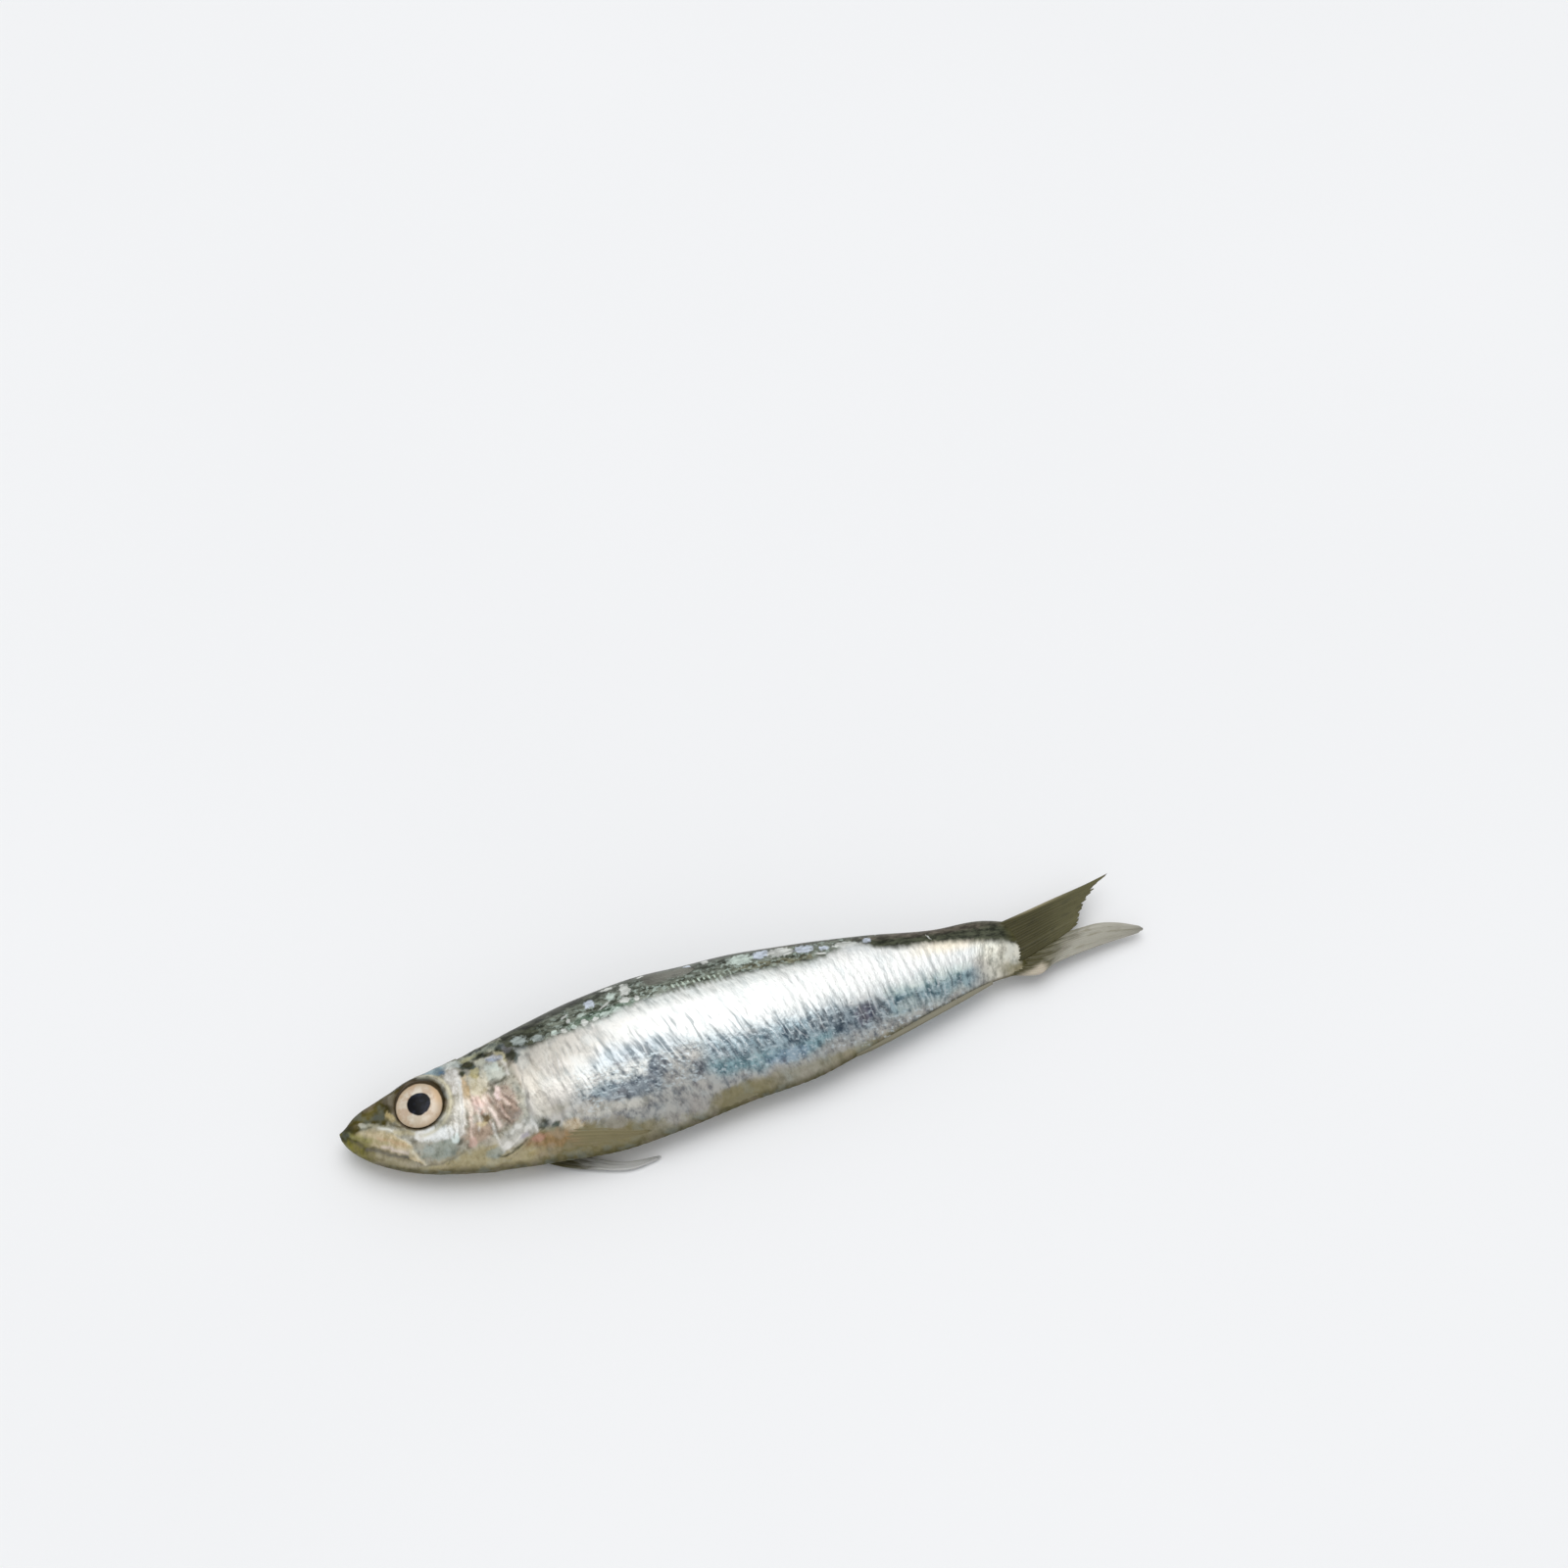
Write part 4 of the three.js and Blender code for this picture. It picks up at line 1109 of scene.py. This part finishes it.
# Eyes
def eye_surface():
    """Cream and peach iris with painted shade at its top and rim, black pupil with an uneven edge and
    painted bluish reflections, and a clear wet coat.
    """
    m = Shader("wet_eye")
    place = m.attribute("eye_place")
    along, up = m.split(place)[:2]
    cloud = m.noise(place, 0.55, 4.0, 0.6)
    turn = m.math("ARCTAN2", up, along)
    fibres = m.noise(m.join(turn * 9.0, m.length(along, up) * 0.5, 0.0), 1.0, 3.0, 0.6)
    iris = m.mix(m.step(0.38, 0.66, cloud), rgba(200, 187, 166), rgba(222, 214, 198))
    peach = m.step(-0.4, 3.4, along * 0.8 + up * -0.45)
    iris = m.mix(peach * 0.45, iris, rgba(232, 207, 182))
    iris = m.mix(m.step(0.42, 0.8, fibres) * 0.16, iris, rgba(184, 166, 142))
    # A peach crescent at the rear, and brown blotches
    rear = m.step(2.2, 3.4, along) * m.step(-2.6, 0.0, up)
    iris = m.mix(rear * 0.6, iris, rgba(240, 198, 150))
    blotch = m.noise(m.join(along * 0.5, up * 0.5, 3.0), 1.0, 3.0, 0.6)
    iris = m.mix(m.step(0.48, 0.6, blotch) * 0.55, iris, rgba(186, 156, 130))
    # The pupil reaches further towards the tail and the belly
    longer = (along * 0.5 + up * -0.86) * -0.18
    wobble = (m.noise(place, 0.6) - 0.5) * 0.55
    pupil_reach = m.length(along + 0.18, up + 0.06) + longer + wobble
    pupil = m.step(PUPIL_RADIUS + 0.1, PUPIL_RADIUS - 0.14, pupil_reach)
    # Painted bluish reflections in patches over the black pupil
    pupil_and_reflection = m.mix(m.step(0.45, 0.7, cloud), rgba(8, 8, 11), rgba(34, 38, 52))
    # Painted shade darkens the top of the iris, and a painted shadow rings the eye, thickest at the top,
    # and the bottom lies free
    shade_reach = m.length(along + 0.15, up + 0.56) + (cloud - 0.5) * 0.4
    iris = m.mix(m.step(2.7, 4.1, shade_reach) * 0.6, iris, rgba(172, 146, 112))
    colour = m.mix(pupil, iris, pupil_and_reflection)
    colour = m.mix(m.step(4.0, 4.3, shade_reach), colour, rgba(58, 47, 25))
    normal = m.bump(fibres * (1.0 - pupil), 0.00003)
    return m.finish(
        Base_Color=colour, Roughness=0.3, Normal=normal, Coat_Weight=0.2, Coat_Roughness=0.22,
        Specular_IOR_Level=0.05,
    )


def make_eye(name, node, flank, material):
    """A lens with a bulging front, which is a little flatter over the iris than over the pupil."""
    centre, *directions = eye_frame(flank)
    polar = np.pi * np.arange(EYE_RINGS)[:, None] / (EYE_RINGS - 1)
    angle = TURN * np.arange(EYE_AROUND) / EYE_AROUND
    radius = EYE_RADIUS * np.sin(polar)
    front = EYE_DOME * np.cos(polar) * (1 + 0.12 * np.exp(-((radius / 2.6) ** 2)))
    height = np.where(polar < np.pi / 2, front, EYE_DEPTH * np.cos(polar))
    grid = np.stack(np.broadcast_arrays(radius * np.cos(angle), radius * np.sin(angle), height), -1)
    placed = lay_down(ring_values(centre + grid @ np.array(directions)))
    eye = new_piece(name, placed, ring_faces(EYE_RINGS, EYE_AROUND), material, (node,))
    set_numbers(eye, "eye_place", ring_values(grid))


# Fins, each as two edges between which its rays lie
UPPER_LOBE = {
    "outer": [(124, 5.4), (130.4, 6.7), (136, 7.9), (143, 9.3), (148.6, 10.7)],
    "inner": [(124, -3.6), (129, -1.9), (133, -0.5), (136.6, 0.8), (139.6, 2.3)],
    "rays": 17, "hollow": 0.14, "torn": 0.075, "soft_edge": 0.06,
}
LOWER_LOBE = {
    "outer": [(124, -4.4), (129.4, -5.5), (133, -4.1), (141, -2.8), (151, -1.8)],
    "inner": [(124, 1), (132, 1), (138.6, 1.4), (143.1, 1.6), (147, 0.8), (151, -0.9)],
    "rays": 14, "torn": 0.01, "round": 0.03, "soft_edge": 0.06,
}
ANAL_FIN = {
    "outer": [(91.6, -12.4), (93.5, -12.5), (100, -11.1), (112, -7.9), (120.5, -5.4)],
    "inner": [(91.6, -11), (97, -9.6), (103, -7.8), (112, -5.7), (120.5, -4.2)],
    "rays": 3, "soft_edge": 0.3,
}
LEFT_PECTORAL = {
    "outer": [(32.5, -14), (37.5, -15.6), (43, -16.7), (48.5, -17), (53, -16.6)],
    "inner": [(32.5, -12), (38, -12.4), (44, -13.6), (49.5, -15.2), (53, -16.2)],
    "rays": 7, "torn": 0.02, "round": 0.08, "soft_edge": 0.9,
}
PELVIC = {
    "outer": [(64, -16), (67, -15.9), (70, -15.5), (73.5, -15)],
    "inner": [(64, -14.9), (67, -14.5), (70, -14.3), (73.5, -14.6)],
    "rays": 6, "torn": 0.02, "round": 0.08, "soft_edge": 0.9,
}
DORSAL_FIN = {
    "outer": [(55.8, 10.2), (59, 8.7), (63, 8.2), (66.5, 8.8), (68.6, 9.8)],
    "inner": [(55.8, 10.9), (59, 11.9), (62.5, 12.2), (66, 11.6), (68.6, 10.4)],
    "rays": 11, "torn": 0.03, "soft_edge": 0.8,
}
RIGHT_PECTORAL = {
    "outer": [(31.5, -13.2), (36.6, -16.3), (41.5, -18.2), (48, -20), (53.9, -19.4)],
    "inner": [(31, -9.6), (36, -11.6), (41, -15.2), (47, -18.2), (53.9, -18.9)],
    "rays": 11, "torn": 0.03, "round": 0.02, "soft_edge": 0.3,
    "root_height": 1.9, "rim_height": 0.65,
}


def along_edge(edge, t):
    """Points along a smooth curve through the edge's points, as t runs from 0 to 1."""
    edge = np.array(edge, float)
    slope = np.gradient(edge, axis=0)
    along = t * (len(edge) - 1)
    i = np.clip(np.floor(along).astype(int), 0, len(edge) - 2)
    u = (along - i)[..., None]
    start = (1 + 2 * u) * (1 - u) ** 2 * edge[i] + u * (1 - u) ** 2 * slope[i]
    return start + u * u * (3 - 2 * u) * edge[i + 1] + u * u * (u - 1) * slope[i + 1]


def make_fin(name, fin, place, thickness, ray_relief, material):
    """A thin closed blade with rays. place(x, y, t, lift) gives the point lift millimetres above the
    blade's middle sheet; t runs from the root to the margin."""
    across = np.linspace(0, 1, fin["rays"] * POINTS_PER_RAY + 1)
    even_phase = across * fin["rays"]
    phase = even_phase + 0.45 * noise(even_phase * 0.6, 0 * across, 73)
    ray = np.cos(TURN * phase)
    # The margin is drawn back in its middle, at its corners and where it is torn
    short = fin.get("hollow", 0) * 4 * across * (1 - across) + fin.get("round", 0) * (2 * across - 1) ** 2
    short += fin.get("torn", 0) * (0.1 * (1 - ray) + np.abs(noise(phase * 0.9, 0 * across, 71)))
    t = np.linspace(0, 1, FIN_STEPS + 1)[:, None] * (1 - short)
    spot = lerp(along_edge(fin["outer"], t), along_edge(fin["inner"], t), across[None, :, None])
    x, y = spot[..., 0], spot[..., 1]
    half = lerp(*thickness, np.minimum(t * 1.6, 1)) / 2
    edge = np.clip(2 * np.minimum(across, 1 - across) / fin["soft_edge"], 0, 1) ** 0.5
    half = half * (1 + ray_relief * (ray - 1) / 2) * lerp(0.12, 1, edge)
    points = np.concatenate([place(x, y, t, half).reshape(-1, 3), place(x, y, t, -half).reshape(-1, 3)])
    rows, columns = t.shape
    count = rows * columns
    faces = []
    for i in range(rows - 1):
        for j in range(columns - 1):
            a = i * columns + j
            b = a + columns
            faces.append((a, a + 1, b + 1, b))
            faces.append((count + a, count + b, count + b + 1, count + a + 1))
    rim = (
        [(0, j) for j in range(columns)]
        + [(i, columns - 1) for i in range(1, rows)]
        + [(rows - 1, j) for j in range(columns - 2, -1, -1)]
        + [(i, 0) for i in range(rows - 2, 0, -1)]
    )
    for (i, j), (k, n) in zip(rim, rim[1:] + rim[:1]):
        a = i * columns + j
        b = k * columns + n
        faces.append((a, count + a, count + b, b))
    piece = new_piece(name, lay_down(points), faces, material)
    fin_place = np.stack(np.broadcast_arrays(phase, t, across), -1).reshape(-1, 3)
    set_numbers(piece, "fin_place", np.concatenate([fin_place, fin_place]))


def upright(offset):
    return lambda x, y, t, lift: np.stack([x, y, offset + lift], -1)


def on_skin(flank, rise):
    """Folded against one flank, its middle sheet rise millimetres above the skin."""

    def place(x, y, t, lift):
        sunk = rise - 0.5 * step(0.35, 0, t)
        return np.stack([x, y, flank * (flank_width(x, y) + sunk + lift)], -1)

    return place


def on_table(fin):
    def place(x, y, t, lift):
        up = lerp(fin["root_height"], fin["rim_height"], np.sqrt(t)) + lift - axis_height(x)
        return np.stack(
            [x, y * math.cos(ROLL) + up * math.sin(ROLL), up * math.cos(ROLL) - y * math.sin(ROLL)], -1
        )

    return place


def fin_surface(name, root, rim, line, fade, contrast=0.3, edge=None, patch=None):
    """Fin membrane from its root colour to its rim colour, with darker lines along the rays. edge is the
    colour of the outermost ray, and patch that of loose scales over the outer side of the root."""
    m = Shader(name)
    phase, along, across = m.split(m.attribute("fin_place"))
    cloud = m.noise(m.join(phase * 0.4, along * 5.0, 0.0), 1.0, 4.0, 0.62)
    fading = m.step(fade[0], fade[1], along + (cloud - 0.5) * 0.7)
    colour = m.mix(fading, rgba(*root), rgba(*rim))
    # The rays branch once on the way to the margin
    single = m.math("COSINE", phase * TURN)
    double = m.math("COSINE", phase * (2 * TURN))
    wave = m.blend(m.step(0.3, 0.7, along), single, double)
    fine = m.noise(m.join(phase * 2.6, along * 2.2, 0.0), 1.0, 3.0, 0.6)
    lines = m.step(0.0, 1.1, wave + (fine - 0.5) * 3.0) * m.step(1.0, 0.8, along)
    colour = m.mix(lines * contrast, colour, rgba(*line))
    colour = m.mix(m.step(0.5, 0.66, cloud) * contrast, colour, rgba(*line))
    colour = m.mix(m.step(0.48, 0.72, fine) * 0.3, colour, rgba(*rim))
    if edge:
        outermost = m.step(0.1, 0.03, across) * m.step(0.75, 0.4, along) * m.step(0.05, 0.35, along)
        colour = m.mix(outermost * 0.8, colour, rgba(*edge))
    if patch:
        from_patch = across * 1.3 + m.math("ABSOLUTE", along * 2.6 - 0.62)
        scales = m.step(0.5, 0.2, from_patch + (cloud - 0.5) * 0.5)
        colour = m.mix(scales * 0.85, colour, rgba(*patch))
    normal = m.bump(wave * 0.3 + fine, 0.00004)
    return m.finish(
        Base_Color=colour, Roughness=0.42, Normal=normal, Coat_Weight=0.06, Coat_Roughness=0.2,
        Specular_IOR_Level=0.25,
    )


def make_fins():
    dark_root = (66, 62, 30)
    olive = fin_surface(
        "olive_fin", dark_root, (98, 94, 60), (40, 38, 14), (0.3, 0.9), 0.5, edge=(150, 142, 110),
    )
    # The lower tail lobe is opaque, and its rim is painted pale for light from the table showing through
    # the thin membrane
    pale = fin_surface(
        "pale_fin", dark_root, (174, 171, 159), (108, 103, 72), (0.18, 0.62), 0.45, patch=(200, 189, 170),
    )
    brown = fin_surface("brown_fin", (114, 109, 88), (136, 132, 114), (92, 88, 68), (0.0, 1.0))
    beige = fin_surface("beige_fin", (150, 124, 92), (128, 119, 86), (104, 96, 64), (0.0, 0.45))
    belly = fin_surface("belly_fin", (120, 112, 78), (132, 126, 98), (104, 97, 66), (0.0, 0.9), 0.2)
    # The right pectoral fin is opaque, and its rim is painted pale for light from the table showing
    # through the thin membrane
    side = fin_surface("side_fin", (62, 58, 24), (200, 200, 197), (132, 126, 92), (0.3, 0.72), 0.2)
    back = fin_surface("back_fin", (84, 84, 74), (140, 140, 130), (46, 46, 38), (0.0, 0.9), 0.5)
    # Name, shape, place, thickness at the root and at the margin, relief of the rays, material
    for fin in (
        ("tail_upper_lobe", UPPER_LOBE, upright(0.2), (1.5, 0.5), 0.14, olive),
        ("tail_lower_lobe", LOWER_LOBE, upright(-0.2), (1.5, 0.5), 0.14, pale),
        ("anal_fin", ANAL_FIN, upright(0), (1.1, 0.5), 0.1, brown),
        ("left_pectoral_fin", LEFT_PECTORAL, on_skin(1, -0.12), (0.5, 0.4), 0.3, beige),
        ("right_pectoral_fin", RIGHT_PECTORAL, on_table(RIGHT_PECTORAL), (0.55, 0.5), 0.12, side),
        ("left_pelvic_fin", PELVIC, on_skin(1, -0.1), (0.4, 0.35), 0.15, belly),
        ("right_pelvic_fin", PELVIC, on_skin(-1, -0.1), (0.4, 0.35), 0.15, belly),
        ("dorsal_fin", DORSAL_FIN, on_skin(1, -0.05), (0.5, 0.4), 0.3, back),
    ):
        make_fin(*fin)


# Table, lights and camera
def make_table():
    m = Shader("pale_table")
    cloud = m.noise(m.node("TexCoord", {}, "Object"), 6.0)
    colour = m.mix(cloud, (0.86, 0.86, 0.86, 1), (0.9, 0.9, 0.9, 1))
    mesh = bpy.data.meshes.new("table")
    reach = TABLE_REACH
    corners = [(-reach, -reach, 0), (reach, -reach, 0), (reach, reach, 0), (-reach, reach, 0)]
    mesh.from_pydata(corners, [], [(0, 1, 2, 3)])
    mesh.materials.append(m.finish(Base_Color=colour, Roughness=0.7))
    table = bpy.data.objects.new("table", mesh)
    bpy.context.scene.collection.objects.link(table)


def soft_light(name, direction, strength, spread):
    """Light from a wide disc of the sky, spread degrees across, that falls evenly on the whole table."""
    data = bpy.data.lights.new(name, "SUN")
    data.energy = strength
    data.angle = math.radians(spread)
    light = bpy.data.objects.new(name, data)
    light.location = direction
    light.rotation_mode = "QUATERNION"
    light.rotation_quaternion = (-Vector(direction)).to_track_quat("-Z", "Y")
    bpy.context.scene.collection.objects.link(light)


def make_lights():
    soft_light("light_behind", (0.05, 0.2, 0.6), 1.05, 55)
    soft_light("light_above", (0.0, -0.05, 0.8), 0.3, 40)
    soft_light("front_fill", (-0.4, -0.7, 0.45), 0.15, 40)
    world = bpy.data.worlds.new("studio")
    world.use_nodes = True
    background = world.node_tree.nodes["Background"]
    background.inputs["Color"].default_value = (0.95, 0.97, 1.0, 1)
    background.inputs["Strength"].default_value = 0.6
    bpy.context.scene.world = world


def make_camera():
    """At the photograph's viewing angle, aimed so that the fish falls in the same part of the picture."""
    azimuth = math.radians(-16.93)
    elevation = math.radians(59.5)
    distance = 0.7372
    aim = Vector((0.02177, 0.05226, 0))
    data = bpy.data.cameras.new("camera")
    data.sensor_width = 36
    data.lens = 90
    data.clip_start = 0.05
    data.clip_end = 20
    flat = math.cos(elevation)
    back = Vector((math.sin(azimuth) * flat, -math.cos(azimuth) * flat, math.sin(elevation)))
    camera = bpy.data.objects.new("camera", data)
    turn = back.to_track_quat("Z", "Y").to_matrix().to_4x4()
    camera.matrix_world = Matrix.Translation(aim + back * distance) @ turn
    bpy.context.scene.collection.objects.link(camera)
    bpy.context.scene.camera = camera
    bpy.context.scene.view_settings.view_transform = "Standard"


make_body()
eye_material = eye_surface()
make_eye("left_eyeball", "left_eye", 1, eye_material)
make_eye("right_eyeball", "right_eye", -1, eye_material)
make_fins()
make_table()
make_lights()
make_camera()
